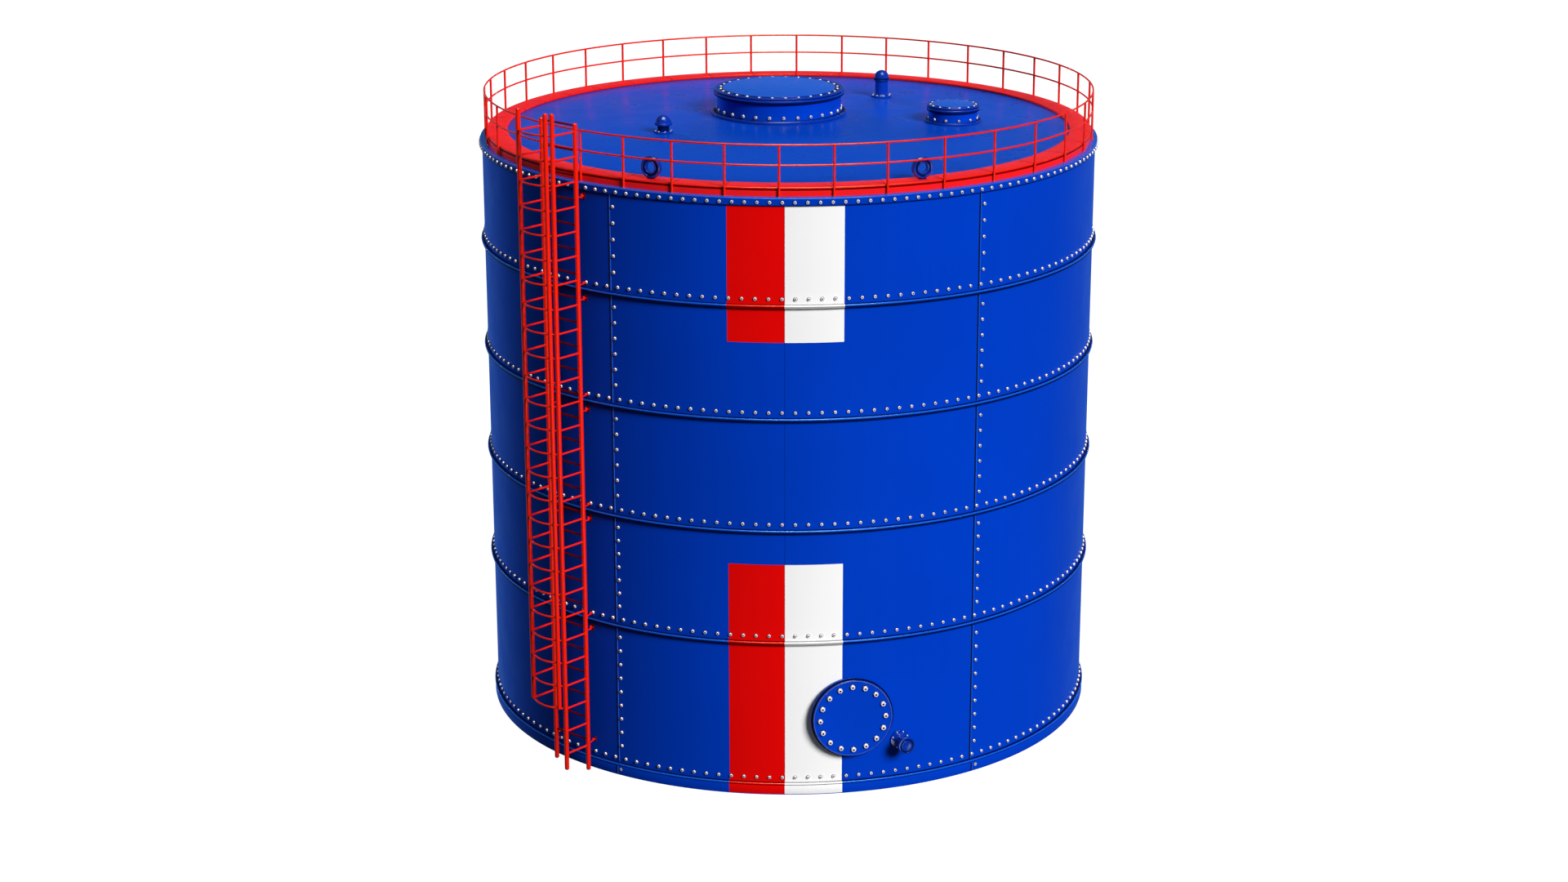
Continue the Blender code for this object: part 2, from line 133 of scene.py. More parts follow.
# Caged ladder, its brackets and the domed ends of its bars
LADDER_AZIMUTH = -41.79
LADDER_HALF_WIDTH = 0.309
LADDER_DISTANCE = 4.441
CAGE_DISTANCE = 4.845
CAGE_BULGE = 0.10
CAGE_MIDDLE_SHARE = 0.87
BAR_RADIUS = 0.031
RUNG_RADIUS = 0.014
RUNG_PITCH = 0.3255
FIRST_HOOP = 0.385
HOOP_COUNT = 27
FIRST_FULL_HOOP = 2
RUNG_LIFT = 0.08
BRACKET_DROP = 0.12
FOOT_BRACKET_RISE = 0.24
SMALL_BRACKET_RISE = 0.085
BRACKET_SPLAY = 0.045
SMALL_BRACKET = 0.065
LARGE_BRACKET = 0.095
DOME_SQUASH = 0.75

# Fittings on the shell and the roof
MANHOLE_AZIMUTH = 11.27
MANHOLE_NECK = 0.49
MANHOLE_RIM = 0.56
MANHOLE_PROUD = 0.13
MANHOLE_BOLTS = 16
MANHOLE_BOLT_CIRCLE = 0.445
MANHOLE_NUT_SIZE = 1.62
DRAIN_AZIMUTH = 20.4
DRAIN_LENGTH = 0.27
# Fittings take the glossy blue, and its darker copy as painted shade in grooves and recesses
FITTING_SURFACES = ("gloss_blue", "blue_painted_shade")
EYE_AXIS_DISTANCE = 4.05
EYE_OUTER = 0.146
EYE_HOLE = 0.064
EYE_HALF = 0.04

# Photograph's view: a camera that looks down a little at the middle of the shell
VIEW_DISTANCE = 42.65
VIEW_ELEVATION = 17.15
VIEW_HEIGHT = 3.63
LENS = 67.89
PICTURE_WIDTH = 1920
AXIS_OFFSET_PIXELS = 5.7
SENSOR_WIDTH = 36.0
FAR_CLIP = 2000.0

# Studio: suns as azimuth, elevation, level on a wall that faces them, and angle across
KEY_LIGHT = (41.0, 31.0, 1.32, 22.0)
LEFT_RIM = (-144.0, 8.0, 1.85, 24.0)
RIGHT_RIM = (160.0, 8.0, 1.70, 24.0)
SOFT_BOX = (15.0, 70.0, 1.0, 34.0)
SUN_DISTANCE = 30.0
WORLD_COLOUR = (0.85, 0.92, 1.0)
WORLD_LEVEL = 0.08
FLOOR_RADIUS = 900.0
BACKDROP_RADIUS = 880.0
REFLECTOR_RADIUS = 860.0
FLOOR_GLOW = 0.96
FLOOR_GREY = (0.12, 0.12, 0.12)
REFLECTION = (0.13, 0.30, 0.40)
STRIP_LIGHT = (2.0, 1.8, 1.8)
STRIP_LIGHT_AZIMUTH = 24.0

# Colours and the tints of their highlights
BLUE = (0.0, 0.035, 0.42)
# Bead blue is lighter than the wall's blue: painted highlight on ring beads, seam straps and bright edges
BEAD_HIGHLIGHT_BLUE = (0.004, 0.075, 0.56)
# Roof blue is a little lighter than the wall's blue: painted light on the roof's top
ROOF_BLUE = (0.0, 0.048, 0.46)
GLOSS_BLUE = (0.0, 0.024, 0.30)
# Lid blue is lighter still: painted highlight on the tops of the hatch lids
LID_HIGHLIGHT_BLUE = (0.010, 0.085, 0.54)
# Near-black of the joint sealant and gasket; on the seam lines and washers it is painted shade
SEALANT_AND_SHADE = (0.002, 0.004, 0.020)
RED = (0.66, 0.0015, 0.0015)
DECK_RED = (0.74, 0.008, 0.010)
RAIL_RED = (0.74, 0.008, 0.0015)
WHITE = (0.80, 0.795, 0.79)
ZINC = (0.88, 0.82, 0.85)
COOL_SHEEN = (0.25, 0.70, 1.0)
WARM_SHEEN = (1.0, 0.50, 0.28)
BRIGHT_SHEEN = (0.70, 0.85, 1.0)
PLAIN_SHEEN = (1.0, 1.0, 1.0)

SEED = 7
rng = random.Random(SEED)


def polar(radius, azimuth, height):
    angle = math.radians(azimuth)
    return Vector((radius * math.sin(angle), -radius * math.cos(angle), height))


def outward_turn(azimuth):
    """Turn that points local +Z out of the shell at this azimuth, and local +Y up."""
    return Matrix.Rotation(math.radians(azimuth), 4, "Z") @ Matrix.Rotation(math.radians(90.0), 4, "X")


def facing_out(azimuth, radius, height):
    return Matrix.Translation(polar(radius, azimuth, height)) @ outward_turn(azimuth)


def standing_on(node):
    """Place on the underside of an upright fitting, on its own axis."""
    low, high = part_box(node)
    return Matrix.Translation(((low.x + high.x) / 2, (low.y + high.y) / 2, low.z))


def around(place, distance, height, count, start=0.5):
    """Places spaced evenly on a circle round a fitting's own axis."""
    turns = [Matrix.Rotation(math.tau * (index + start) / count, 4, "Z") for index in range(count)]
    return [place @ turn @ Matrix.Translation((0.0, distance, height)) for turn in turns]


def middle(node):
    low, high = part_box(node)
    return (low + high) / 2


def ring_height(number):
    return middle(f"stiffening_ring_{number}").z


def half_width(node):
    low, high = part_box(node)
    return (high.x - low.x) / 2


def add_object(name, data):
    thing = bpy.data.objects.new(name, data)
    bpy.context.scene.collection.objects.link(thing)
    return thing


class Shape:
    """Points and faces of one piece, gathered before its mesh is made."""

    def __init__(self):
        self.points = []
        self.faces = []
        self.finishes = []

    def add(self, points, faces, finishes):
        base = len(self.points)
        self.points += [tuple(point) for point in points]
        self.faces += [tuple(base + index for index in face) for face in faces]
        self.finishes += finishes


def make(name, shape, surfaces, nodes=(), sharp_angle=32.0):
    """Turn a shape into a piece of the tank; its finishes count through the named surfaces."""
    mesh = bpy.data.meshes.new(name)
    mesh.from_pydata(shape.points, [], shape.faces)
    for surface in surfaces:
        mesh.materials.append(paints[surface])
    mesh.polygons.foreach_set("material_index", shape.finishes)
    bm = bmesh.new()
    bm.from_mesh(mesh)
    bmesh.ops.recalc_face_normals(bm, faces=bm.faces)
    bm.to_mesh(mesh)
    bm.free()
    mesh.shade_smooth()
    mesh.set_sharp_from_angle(angle=math.radians(sharp_angle))
    piece = add_object(name, mesh)
    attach(piece, "root")
    if nodes:
        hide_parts(*nodes)
    return piece


def rounded(corners, closed=False, steps=3):
    """Profile points of (radius, height); a corner's third value is the radius it is rounded to."""
    points = []
    count = len(corners)
    for index, corner in enumerate(corners):
        here = Vector(corner[:2])
        cut = corner[2] if len(corner) > 2 else 0.0
        if cut == 0.0 or (not closed and index in (0, count - 1)):
            points.append(tuple(here))
            continue
        back = Vector(corners[index - 1][:2]) - here
        on = Vector(corners[(index + 1) % count][:2]) - here
        half = back.angle(on) / 2
        reach = min(cut / math.tan(half), back.length * 0.49, on.length * 0.49)
        size = reach * math.tan(half)
        centre = here + (back.normalized() + on.normalized()).normalized() * (size / math.sin(half))
        first = here + back.normalized() * reach - centre
        last = here + on.normalized() * reach - centre
        sweep = math.pi - 2 * half
        for step in range(steps + 1):
            share = step / steps
            arm = first * math.sin((1 - share) * sweep) + last * math.sin(share * sweep)
            points.append(tuple(centre + arm / math.sin(sweep)))
    return points


def arc(centre_radius, centre_height, size, start, end, steps):
    """Profile points on an arc; angles in degrees, 0 away from the axis and 90 up."""
    angles = [math.radians(start + (end - start) * step / steps) for step in range(steps + 1)]
    return [(centre_radius + size * math.cos(angle), centre_height + size * math.sin(angle))
            for angle in angles]


def dome(radius, base, steps=12):
    """Profile points of a half ball that ends on the axis."""
    return arc(0.0, base, radius, 0.0, 90.0, steps)[:-1] + [(0.0, base + radius)]


def finish_at(finish, *place):
    return finish(*place) if callable(finish) else finish


def carried(shape, sections, closed=True, finish=0):
    """Join closed profiles of (radius, height), each at its azimuth, into a body round the tank."""
    count = len(sections[0][1])
    points = [polar(radius, azimuth, height) for azimuth, profile in sections for radius, height in profile]
    pairs = list(zip(range(len(sections)), range(1, len(sections))))
    if closed:
        pairs.append((len(sections) - 1, 0))
    faces = []
    finishes = []
    for first, second in pairs:
        start = sections[first][0]
        end = sections[second][0]
        azimuth = (start + end) / 2 if end > start else start
        profile = sections[first][1]
        for index in range(count):
            following = (index + 1) % count
            faces.append((first * count + index, second * count + index,
                          second * count + following, first * count + following))
            radius = (profile[index][0] + profile[following][0]) / 2
            height = (profile[index][1] + profile[following][1]) / 2
            finishes.append(finish_at(finish, azimuth, radius, height))
    if not closed:
        last = (len(sections) - 1) * count
        faces.append(tuple(range(count)))
        faces.append(tuple(last + index for index in reversed(range(count))))
        finishes += [finishes[0], finishes[-1]]
    shape.add(points, faces, finishes)


def lathe(shape, profile, place, segments, finish=0):
    """Turn a profile of (radius, height) about a local axis, where it ends, or into a closed ring."""
    on_axis = profile[0][0] == 0.0 and profile[-1][0] == 0.0
    turns = [math.tau * step / segments for step in range(segments)]
    points = []
    rows = []
    for radius, height in profile:
        if radius == 0.0:
            rows.append([len(points)] * segments)
            points.append(place @ Vector((0.0, 0.0, height)))
        else:
            rows.append(range(len(points), len(points) + segments))
            points += [place @ Vector((radius * math.cos(turn), radius * math.sin(turn), height))
                       for turn in turns]
    faces = []
    finishes = []
    bands = list(zip(range(len(rows)), range(1, len(rows))))
    if not on_axis:
        bands.append((len(rows) - 1, 0))
    for low, high in bands:
        radius = (profile[low][0] + profile[high][0]) / 2
        height = (profile[low][1] + profile[high][1]) / 2
        paint_index = finish_at(finish, radius, height)
        for index in range(segments):
            following = (index + 1) % segments
            face = (rows[low][index], rows[low][following], rows[high][following], rows[high][index])
            face = tuple(dict.fromkeys(face))
            if len(face) > 2:
                faces.append(face)
                finishes.append(paint_index)
    shape.add(points, faces, finishes)


def turned(name, corners, place, segments, surfaces, nodes=(), finish=0):
    """One turned piece with rounded corners, in the given surfaces."""
    shape = Shape()
    lathe(shape, rounded(corners), place, segments, finish)
    return make(name, shape, surfaces, nodes)


def tube(shape, path, radius, sides=12, domed=False, finish=0, start_cut=None, end_cut=None):
    """Sweep a round bar along a path, mitred at its bends, with flat or domed ends."""
    path = [Vector(point) for point in path]
    runs = [(after - before).normalized() for before, after in zip(path, path[1:])]
    arrivals = [start_cut or runs[0], *runs]
    departures = [*runs, end_cut or runs[-1]]
    side = runs[0].orthogonal().normalized()
    rings = []
    turns = [math.tau * step / sides for step in range(sides)]
    for index, centre in enumerate(path):
        run = runs[min(index, len(runs) - 1)]
        along = (arrivals[index] + departures[index]).normalized()
        if index == 0:
            along = arrivals[0]
        if index == len(path) - 1:
            along = departures[-1]
        side = (side - run * side.dot(run)).normalized()
        over = run.cross(side)
        ring = []
        for turn in turns:
            arm = radius * (side * math.cos(turn) + over * math.sin(turn))
            arm -= run * (arm.dot(along) / run.dot(along))
            ring.append(centre + arm)
        rings.append(ring)
    if domed:
        rings = dome_rings(rings[0], path[0], -runs[0], radius)[::-1] + rings
        rings += dome_rings(rings[-1], path[-1], runs[-1], radius)
    points = [point for ring in rings for point in ring]
    faces = [tuple(reversed(range(sides)))]
    faces += rows_of_faces(len(rings), sides)
    faces.append(tuple((len(rings) - 1) * sides + index for index in range(sides)))
    shape.add(points, faces, [finish] * len(faces))


def rows_of_faces(rows, sides):
    """Four-sided faces between rows of points, each row a closed loop."""
    faces = []
    for row in range(rows - 1):
        low = row * sides
        high = low + sides
        for index in range(sides):
            following = (index + 1) % sides
            faces.append((low + index, low + following, high + following, high + index))
    return faces


def dome_rings(ring, centre, outward, radius, steps=4):
    """Rings that close a bar with a slightly flattened dome."""
    rings = []
    for step in range(1, steps + 1):
        turn = math.pi / 2 * step / (steps + 0.35)
        lift = outward * (radius * DOME_SQUASH * math.sin(turn))
        rings.append([centre + (point - centre) * math.cos(turn) + lift for point in ring])
    return rings


def block(shape, place, size, bevel, finish=0):
    """Add a bevelled rectangular plate, centred in x and y and standing on its local z of 0."""
    bm = bmesh.new()
    bmesh.ops.create_cube(bm, size=1.0)
    bmesh.ops.scale(bm, vec=size, verts=bm.verts)
    bmesh.ops.translate(bm, vec=(0.0, 0.0, size[2] / 2), verts=bm.verts)
    bmesh.ops.bevel(bm, geom=list(bm.edges), offset=bevel, segments=2, affect="EDGES", profile=0.6)
    bmesh.ops.transform(bm, matrix=place, verts=bm.verts)
    bm.verts.index_update()
    faces = [tuple(vert.index for vert in face.verts) for face in bm.faces]
    shape.add([vert.co.copy() for vert in bm.verts], faces, [finish] * len(faces))
    bm.free()


def azimuth_range(start, end, stops=()):
    """Azimuths about a section step apart, from start to end, that also fall on the stops."""
    marks = [start] + sorted(stop for stop in stops if start < stop < end) + [end]
    azimuths = [start]
    for low, high in zip(marks, marks[1:]):
        steps = max(1, round((high - low) / SECTION_STEP))
        azimuths += [low + (high - low) * step / steps for step in range(1, steps + 1)]
    return azimuths


def circle_of(profile, stops=()):
    """The same profile at every azimuth of a full circle, as sections of a closed ring."""
    return [(azimuth, profile) for azimuth in azimuth_range(-180.0, 180.0, stops)[:-1]]


def seam_azimuths():
    """Vertical seams, one more than the plates: the last repeats the first a turn later."""
    left, front, right = FRONT_SEAMS
    rest = PLATE_COUNT - 2
    pitch = (360.0 + left - right) / rest
    return [left, front] + [right + pitch * step for step in range(rest + 1)]


def strapped_seams():
    """The seam on the edge of the stripes is a plain butt joint, and the others have straps."""
    return [azimuth for azimuth in seam_azimuths()[:-1] if azimuth != FRONT_SEAMS[1]]


def stripe_colour(azimuth):
    """0 on blue paint, 1 on the red stripe and 2 on the white one."""
    if RED_STRIPE[0] < azimuth < RED_STRIPE[1]:
        return 1
    if WHITE_STRIPE[0] < azimuth < WHITE_STRIPE[1]:
        return 2
    return 0


def node_tree(name):
    surface = bpy.data.materials.new(name)
    surface.use_nodes = True
    tree = surface.node_tree
    return surface, tree, tree.nodes["Principled BSDF"]


def fill(tree, node, **values):
    """Set a node's inputs, or link them to sockets; an underscore stands for a space in a name."""
    for name, value in values.items():
        socket = node.inputs[name.replace("_", " ")]
        if isinstance(value, bpy.types.NodeSocket):
            tree.links.new(value, socket)
        else:
            socket.default_value = value


def added(tree, kind, **values):
    node = tree.nodes.new("ShaderNode" + kind)
    fill(tree, node, **values)
    return node


def object_space(tree, stretch=(1.0, 1.0, 1.0)):
    """Places on the object itself, stretched for streaks."""
    where = added(tree, "TexCoord").outputs["Object"]
    return added(tree, "Mapping", Scale=stretch, Vector=where).outputs["Vector"]


def noise(tree, where, scale, detail=2.0):
    return added(tree, "TexNoise", Scale=scale, Detail=detail, Vector=where).outputs["Fac"]


def spread(tree, value, low, high, start=0.3, end=0.7):
    """Map a noise value to a range."""
    span = added(tree, "MapRange", From_Min=start, From_Max=end, To_Min=low, To_Max=high, Value=value)
    return span.outputs["Result"]


def mixed(tree, share, first, second):
    """Blend two colours, each of them a socket or a plain colour."""
    blend = tree.nodes.new("ShaderNodeMix")
    blend.data_type = "RGBA"
    given = {"Factor_Float": share, "A_Color": first, "B_Color": second}
    for socket in blend.inputs:
        value = given.get(socket.identifier)
        if isinstance(value, bpy.types.NodeSocket):
            tree.links.new(value, socket)
        elif isinstance(value, tuple):
            socket.default_value = (*value, 1.0)
    return next(socket for socket in blend.outputs if socket.identifier == "Result_Color")


def scaled(colour, factor):
    return tuple(min(1.0, channel * factor) for channel in colour)


def bumped(tree, shader, layers):
    """Chain bump layers of (height value, depth in metres, strength) into the shader's normal."""
    normal = {}
    for height, depth, strength in layers:
        bump = added(tree, "Bump", Distance=depth, Strength=strength, Height=height, **normal)
        normal = {"Normal": bump.outputs["Normal"]}
    fill(tree, shader, **normal)


def paint(name, colour, roughness, specular, sheen=PLAIN_SHEEN, drift=0.04, sheet=True, index=1.5):
    """Sprayed enamel: drift of tone, faint runs down the face, fine orange peel and, on sheet, waves."""
    surface, tree, shader = node_tree(name)
    where = object_space(tree)
    tone = spread(tree, noise(tree, where, 0.55, 3.0), 0.0, 1.0)
    body = mixed(tree, tone, scaled(colour, 1.0 - drift), scaled(colour, 1.0 + drift))
    streaks = noise(tree, object_space(tree, (7.0, 7.0, 0.3)), 1.0, 4.0)
    body = mixed(tree, spread(tree, streaks, 0.0, drift * 2), body, scaled(colour, 0.6))
    gloss = spread(tree, noise(tree, where, 2.2, 4.0), roughness - 0.04, roughness + 0.05)
    fill(tree, shader, Base_Color=body, Roughness=gloss, IOR=index, Specular_IOR_Level=specular,
         Specular_Tint=(*sheen, 1.0))
    layers = [(noise(tree, where, 170.0), 0.0003, 0.30)]
    if sheet:
        layers.insert(0, (noise(tree, where, 0.8, 1.0), 0.004, 0.6))
    bumped(tree, shader, layers)
    return surface


def zinc(name):
    """Galvanised steel: spangled grains, brushed sheen and duller patches."""
    surface, tree, shader = node_tree(name)
    where = object_space(tree)
    grains = added(tree, "TexVoronoi", Scale=160.0, Vector=where)
    split = added(tree, "SeparateColor", Color=grains.outputs["Color"])
    base = mixed(tree, split.outputs["Red"], scaled(ZINC, 0.90), scaled(ZINC, 1.10))
    dull = spread(tree, noise(tree, where, 22.0, 3.0), 0.0, 0.15)
    base = mixed(tree, dull, base, scaled(ZINC, 0.45))
    gloss = spread(tree, noise(tree, where, 60.0, 3.0), 0.24, 0.40)
    fill(tree, shader, Base_Color=base, Metallic=0.50, Roughness=gloss)
    bumped(tree, shader, [(noise(tree, where, 300.0), 0.0003, 0.4)])
    return surface


def sealant_and_shade(name, colour):
    """Matt dark finish with a tooled, slightly lumpy face: sealant and gasket, and painted shade on seam lines
    and washers.
    """
    surface, tree, shader = node_tree(name)
    where = object_space(tree)
    tone = spread(tree, noise(tree, where, 30.0, 4.0), 0.0, 1.0)
    body = mixed(tree, tone, scaled(colour, 0.7), scaled(colour, 1.3))
    gloss = spread(tree, noise(tree, where, 90.0), 0.55, 0.75)
    fill(tree, shader, Base_Color=body, Roughness=gloss, Specular_IOR_Level=0.1)
    bumped(tree, shader, [(noise(tree, where, 120.0, 3.0), 0.001, 0.5)])
    return surface


def make_materials():
    gloss = {"sheet": False, "index": 1.7}
    return {
        "blue": paint("tank_blue", BLUE, 0.36, 0.08, COOL_SHEEN),
        "red": paint("tank_red", RED, 0.38, 0.08, WARM_SHEEN),
        "white": paint("tank_white", WHITE, 0.40, 0.10, drift=0.012),
        # Darker copies of the blue, red and white paint: painted shade for ledges, grooves, recesses and parts
        # in shadow
        "blue_painted_shade": paint("tank_blue_painted_shade", scaled(BLUE, 0.16), 0.45, 0.05, COOL_SHEEN),
        "red_painted_shade": paint("tank_red_painted_shade", scaled(RED, 0.28), 0.45, 0.05, WARM_SHEEN),
        "white_painted_shade": paint("tank_white_painted_shade", scaled(WHITE, 0.42), 0.45, 0.05),
        # Bead paints: the blue is lighter, a painted highlight; the red and white are only glossier
        "bead_blue_painted_highlight": paint("bead_blue_painted_highlight", BEAD_HIGHLIGHT_BLUE, 0.20, 0.7, COOL_SHEEN, **gloss),
        "bead_red": paint("bead_red", RED, 0.26, 0.4, WARM_SHEEN, sheet=False),
        "bead_white": paint("bead_white", WHITE, 0.32, 0.3, drift=0.012, sheet=False),
        # Roof paint in the lighter roof blue: painted light on the roof's top
        "roof_blue": paint("roof_blue", ROOF_BLUE, 0.30, 0.20, COOL_SHEEN, drift=0.02),
        "gloss_blue": paint("gloss_blue", GLOSS_BLUE, 0.14, 0.9, BRIGHT_SHEEN, **gloss),
        # Lid paint in the lighter lid blue: painted highlight on the tops of the hatch lids
        "lid_blue_painted_highlight": paint("lid_blue_painted_highlight", LID_HIGHLIGHT_BLUE, 0.30, 0.25, COOL_SHEEN),
        "rail_red": paint("rail_red", RAIL_RED, 0.24, 0.75, WARM_SHEEN, sheet=False, index=1.6),
        "deck_red": paint("deck_red", DECK_RED, 0.36, 0.20, WARM_SHEEN),
        "zinc": zinc("zinc_steel"),
        # Dark sealant and gasket finish, also painted shade on seam lines and washers
        "sealant_and_shade": sealant_and_shade("dark_sealant_and_shade", SEALANT_AND_SHADE),
    }


def make_shell():
    """Seven curved plates, the two front ones with the painted stripes."""
    low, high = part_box("shell_plate_1")
    inner = RADIUS - WALL
    heights = [low.z, LOWER_STRIPE_TOP, UPPER_STRIPE_FOOT, high.z]
    inside = [(inner, high.z), (inner, low.z)]
    full = [(RADIUS, height) for height in heights] + inside
    eased = [(RADIUS - PLATE_EASE, height) for height in heights] + inside
    half_joint = math.degrees(PLATE_JOINT / 2 / RADIUS)
    ease_turn = math.degrees(PLATE_EASE / RADIUS)

    def colour(azimuth, radius, height):
        if radius < RADIUS - PLATE_EASE or LOWER_STRIPE_TOP < height < UPPER_STRIPE_FOOT:
            return 0
        return stripe_colour(azimuth)

    seams = seam_azimuths()
    for index, (start, end) in enumerate(zip(seams, seams[1:])):
        first = start + half_joint
        last = end - half_joint
        azimuths = azimuth_range(first + ease_turn, last - ease_turn, STRIPE_EDGES)
        sections = [(first, eased)] + [(azimuth, full) for azimuth in azimuths] + [(last, eased)]
        shape = Shape()
        carried(shape, sections, closed=False, finish=colour)
        make(f"shell_sheet_{index + 1}", shape, ["blue", "red", "white"],
             [f"shell_plate_{index + 1}"])


def course_levels():
    """Lowest and highest point of each bare stretch of wall between two rings."""
    edges = [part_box("base_ring")[1].z]
    for number in RINGS:
        low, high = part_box(f"stiffening_ring_{number}")
        edges += [low.z, high.z]
    edges.append(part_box("top_flange")[1].z - FLANGE_LEG)
    return list(zip(edges[::2], edges[1::2]))


def strip(shape, azimuth, low, high, width, proud, sideways=0.0, base=RADIUS, finish=0):
    """Upright flat bar on the wall, its outer edges eased."""
    foot = base + GAP
    outer = base + proud
    ease = min(PLATE_EASE, proud / 2)
    half = math.degrees(width / 2 / RADIUS)
    turn = math.degrees(min(PLATE_EASE, width / 4) / RADIUS)
    centre = azimuth + math.degrees(sideways / RADIUS)
    full = [(foot, low), (outer, low + ease), (outer, high - ease), (foot, high)]
    eased = [(foot, low), (outer - ease, low + ease), (outer - ease, high - ease), (foot, high)]
    sections = [(centre - half, eased), (centre - half + turn, full),
                (centre + half - turn, full), (centre + half, eased)]
    carried(shape, sections, closed=False, finish=finish)


def make_seams():
    """A dark line of sealant along every strapped seam, painted shade for the gap's shadow, with a bead in the
    lighter bead blue on its right, a painted highlight, down the base strip too.
    """
    end_clearance = 0.002
    low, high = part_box("base_ring")
    base_top = high.z - RING_LEDGE_FOOT - RING_BEAD
    for number, azimuth in enumerate(strapped_seams()):
        shape = Shape()
        levels = [(foot, top, RADIUS) for foot, top in course_levels()]
        levels.append((low.z, base_top, BASE_STRIP_OUTER))
        for foot, top, base in levels:
            foot += end_clearance
            top -= end_clearance
            strip(shape, azimuth, foot, top, SEALANT_AND_SHADE_WIDTH, SEALANT_AND_SHADE_PROUD, 0.0, base, finish=1)
            beside = (SEALANT_AND_SHADE_WIDTH + STRAP_WIDTH) / 2
            proud = STRAP_PROUD if base == RADIUS else STRAP_PROUD / 2
            strip(shape, azimuth, foot, top, STRAP_WIDTH, proud, beside, base)
        make(f"seam_bead_{number + 1}", shape, ["bead_blue_painted_highlight", "sealant_and_shade"])


def ring_colour(azimuth, bright):
    """Finish of a ring in the stripe's colour: the bead paint on its bead, lighter on blue as a painted
    highlight, and painted shade on its ledge.
    """
    return stripe_colour(azimuth) + (0 if bright else 3)


def on_bead(radius, height, bead_height):
    return abs(height - bead_height) < RING_BEAD and radius > RING_LEDGE_OUTER - 0.001


def make_rings():
    """Ledge rings with a rounded edge bead; the top and bottom ones carry the stripes."""
    inner = RADIUS + GAP
    for number in RINGS:
        centre = ring_height(number)
        low = centre - RING_LEDGE_FOOT
        high = centre + RING_LEDGE_TOP
        bead_height = centre + BEAD_LIFT
        bead = arc(RING_OUTER - RING_BEAD, bead_height, RING_BEAD, -75.0, 75.0, 8)
        under = rounded([(inner, low), (RING_LEDGE_OUTER, low, LEDGE_ROUND), bead[0]])[:-1]
        over = rounded([bead[-1], (RING_LEDGE_OUTER, high, LEDGE_ROUND), (inner, high)])[1:]
        painted = number in PAINTED_RINGS

        # Bead faces take the bead paint, lighter on blue as a painted highlight; the ledge takes painted shade
        def colour(azimuth, radius, height, bead_height=bead_height, painted=painted):
            return ring_colour(azimuth if painted else UNSTRIPED, on_bead(radius, height, bead_height))

        shape = Shape()
        carried(shape, circle_of(under + bead + over, STRIPE_EDGES), finish=colour)
        make(f"ring_{number}", shape, RING_SURFACES, [f"stiffening_ring_{number}"])


def make_base():
    """Base ring: bead at the top of a plain strip that runs down to the ground plate."""
    low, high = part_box("base_ring")
    inner = RADIUS + GAP
    bead_height = high.z - RING_BEAD - 0.004
    bead = arc(RING_OUTER - RING_BEAD, bead_height, RING_BEAD, -70.0, 80.0, 8)
    over = rounded([bead[-1], (RING_LEDGE_OUTER, high.z, LEDGE_ROUND), (inner, high.z)])[1:]
    foot = bead[0][1] - 0.006
    under = rounded([(inner, low.z), (BASE_STRIP_OUTER, low.z, 0.002), (BASE_STRIP_OUTER, foot, 0.002),
                     (RING_LEDGE_OUTER - 0.004, foot)], steps=2)

    # As on the rings, bead paint on the bead and painted shade on the ledge; the strip below takes plain paint
    def colour(azimuth, radius, height):
        if height < foot + 0.0002 and radius > BASE_STRIP_OUTER - 0.003:
            return 6 + stripe_colour(azimuth)
        return ring_colour(azimuth, on_bead(radius, height, bead_height))

    shape = Shape()
    carried(shape, circle_of(under + bead + over, STRIPE_EDGES), finish=colour)
    make("base_trim", shape, RING_SURFACES, ["base_ring"])


def make_ground_plate():
    bottom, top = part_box("floor_plate")
    edge = BASE_STRIP_OUTER - 0.002
    turned("ground_plate", [(0.0, bottom.z), (edge, bottom.z, 0.002), (edge, top.z, 0.002), (0.0, top.z)],
           Matrix.Identity(4), 360, ["blue"], ["floor_plate"])


def make_flange():
    """Angle ring on the head of the shell: a thin top edge in the lighter bead blue, a painted highlight, over
    a plain outer face, and a groove at its foot in painted shade.
    """
    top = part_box("top_flange")[1].z
    foot = top - FLANGE_LEG
    inner = RADIUS + GAP
    shell_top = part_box("shell_plate_1")[1].z + GAP
    groove = FLANGE_OUTER - 0.007
    groove_top = foot + 0.010
    lip = top - FLANGE_EDGE
    corners = [(FLANGE_INNER, shell_top), (inner, shell_top), (inner, foot), (groove, foot),
               (groove, groove_top), (FLANGE_OUTER, groove_top, 0.002), (FLANGE_OUTER, lip, 0.001),
               (FLANGE_OUTER + 0.003, lip + 0.001, 0.002), (FLANGE_OUTER + 0.003, top, 0.009),
               (FLANGE_INNER, top)]

    # Painted shade in the groove at the foot, painted highlight on the top edge
    def colour(azimuth, radius, height):
        if height < groove_top + 0.0002:
            return 1
        return 2 if height > lip + 0.0005 else 0

    shape = Shape()
    carried(shape, circle_of(rounded(corners, closed=True)), finish=colour)
    make("top_flange_ring", shape, ["blue", "blue_painted_shade", "bead_blue_painted_highlight"], ["top_flange"])


def make_roof():
    low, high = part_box("roof_plate")
    edge = WALKWAY_OUTER - WALKWAY_SKIRT - 0.001
    turned("roof_sheet", [(0.0, low.z), (edge, low.z, 0.003), (edge, high.z, 0.003), (0.0, high.z)],
           Matrix.Identity(4), 256, ["roof_blue"], ["roof_plate"])


def post_azimuths():
    return [start + (end - start) * bay / bays
            for start, end, bays in RAIL_STRETCHES for bay in range(bays)]


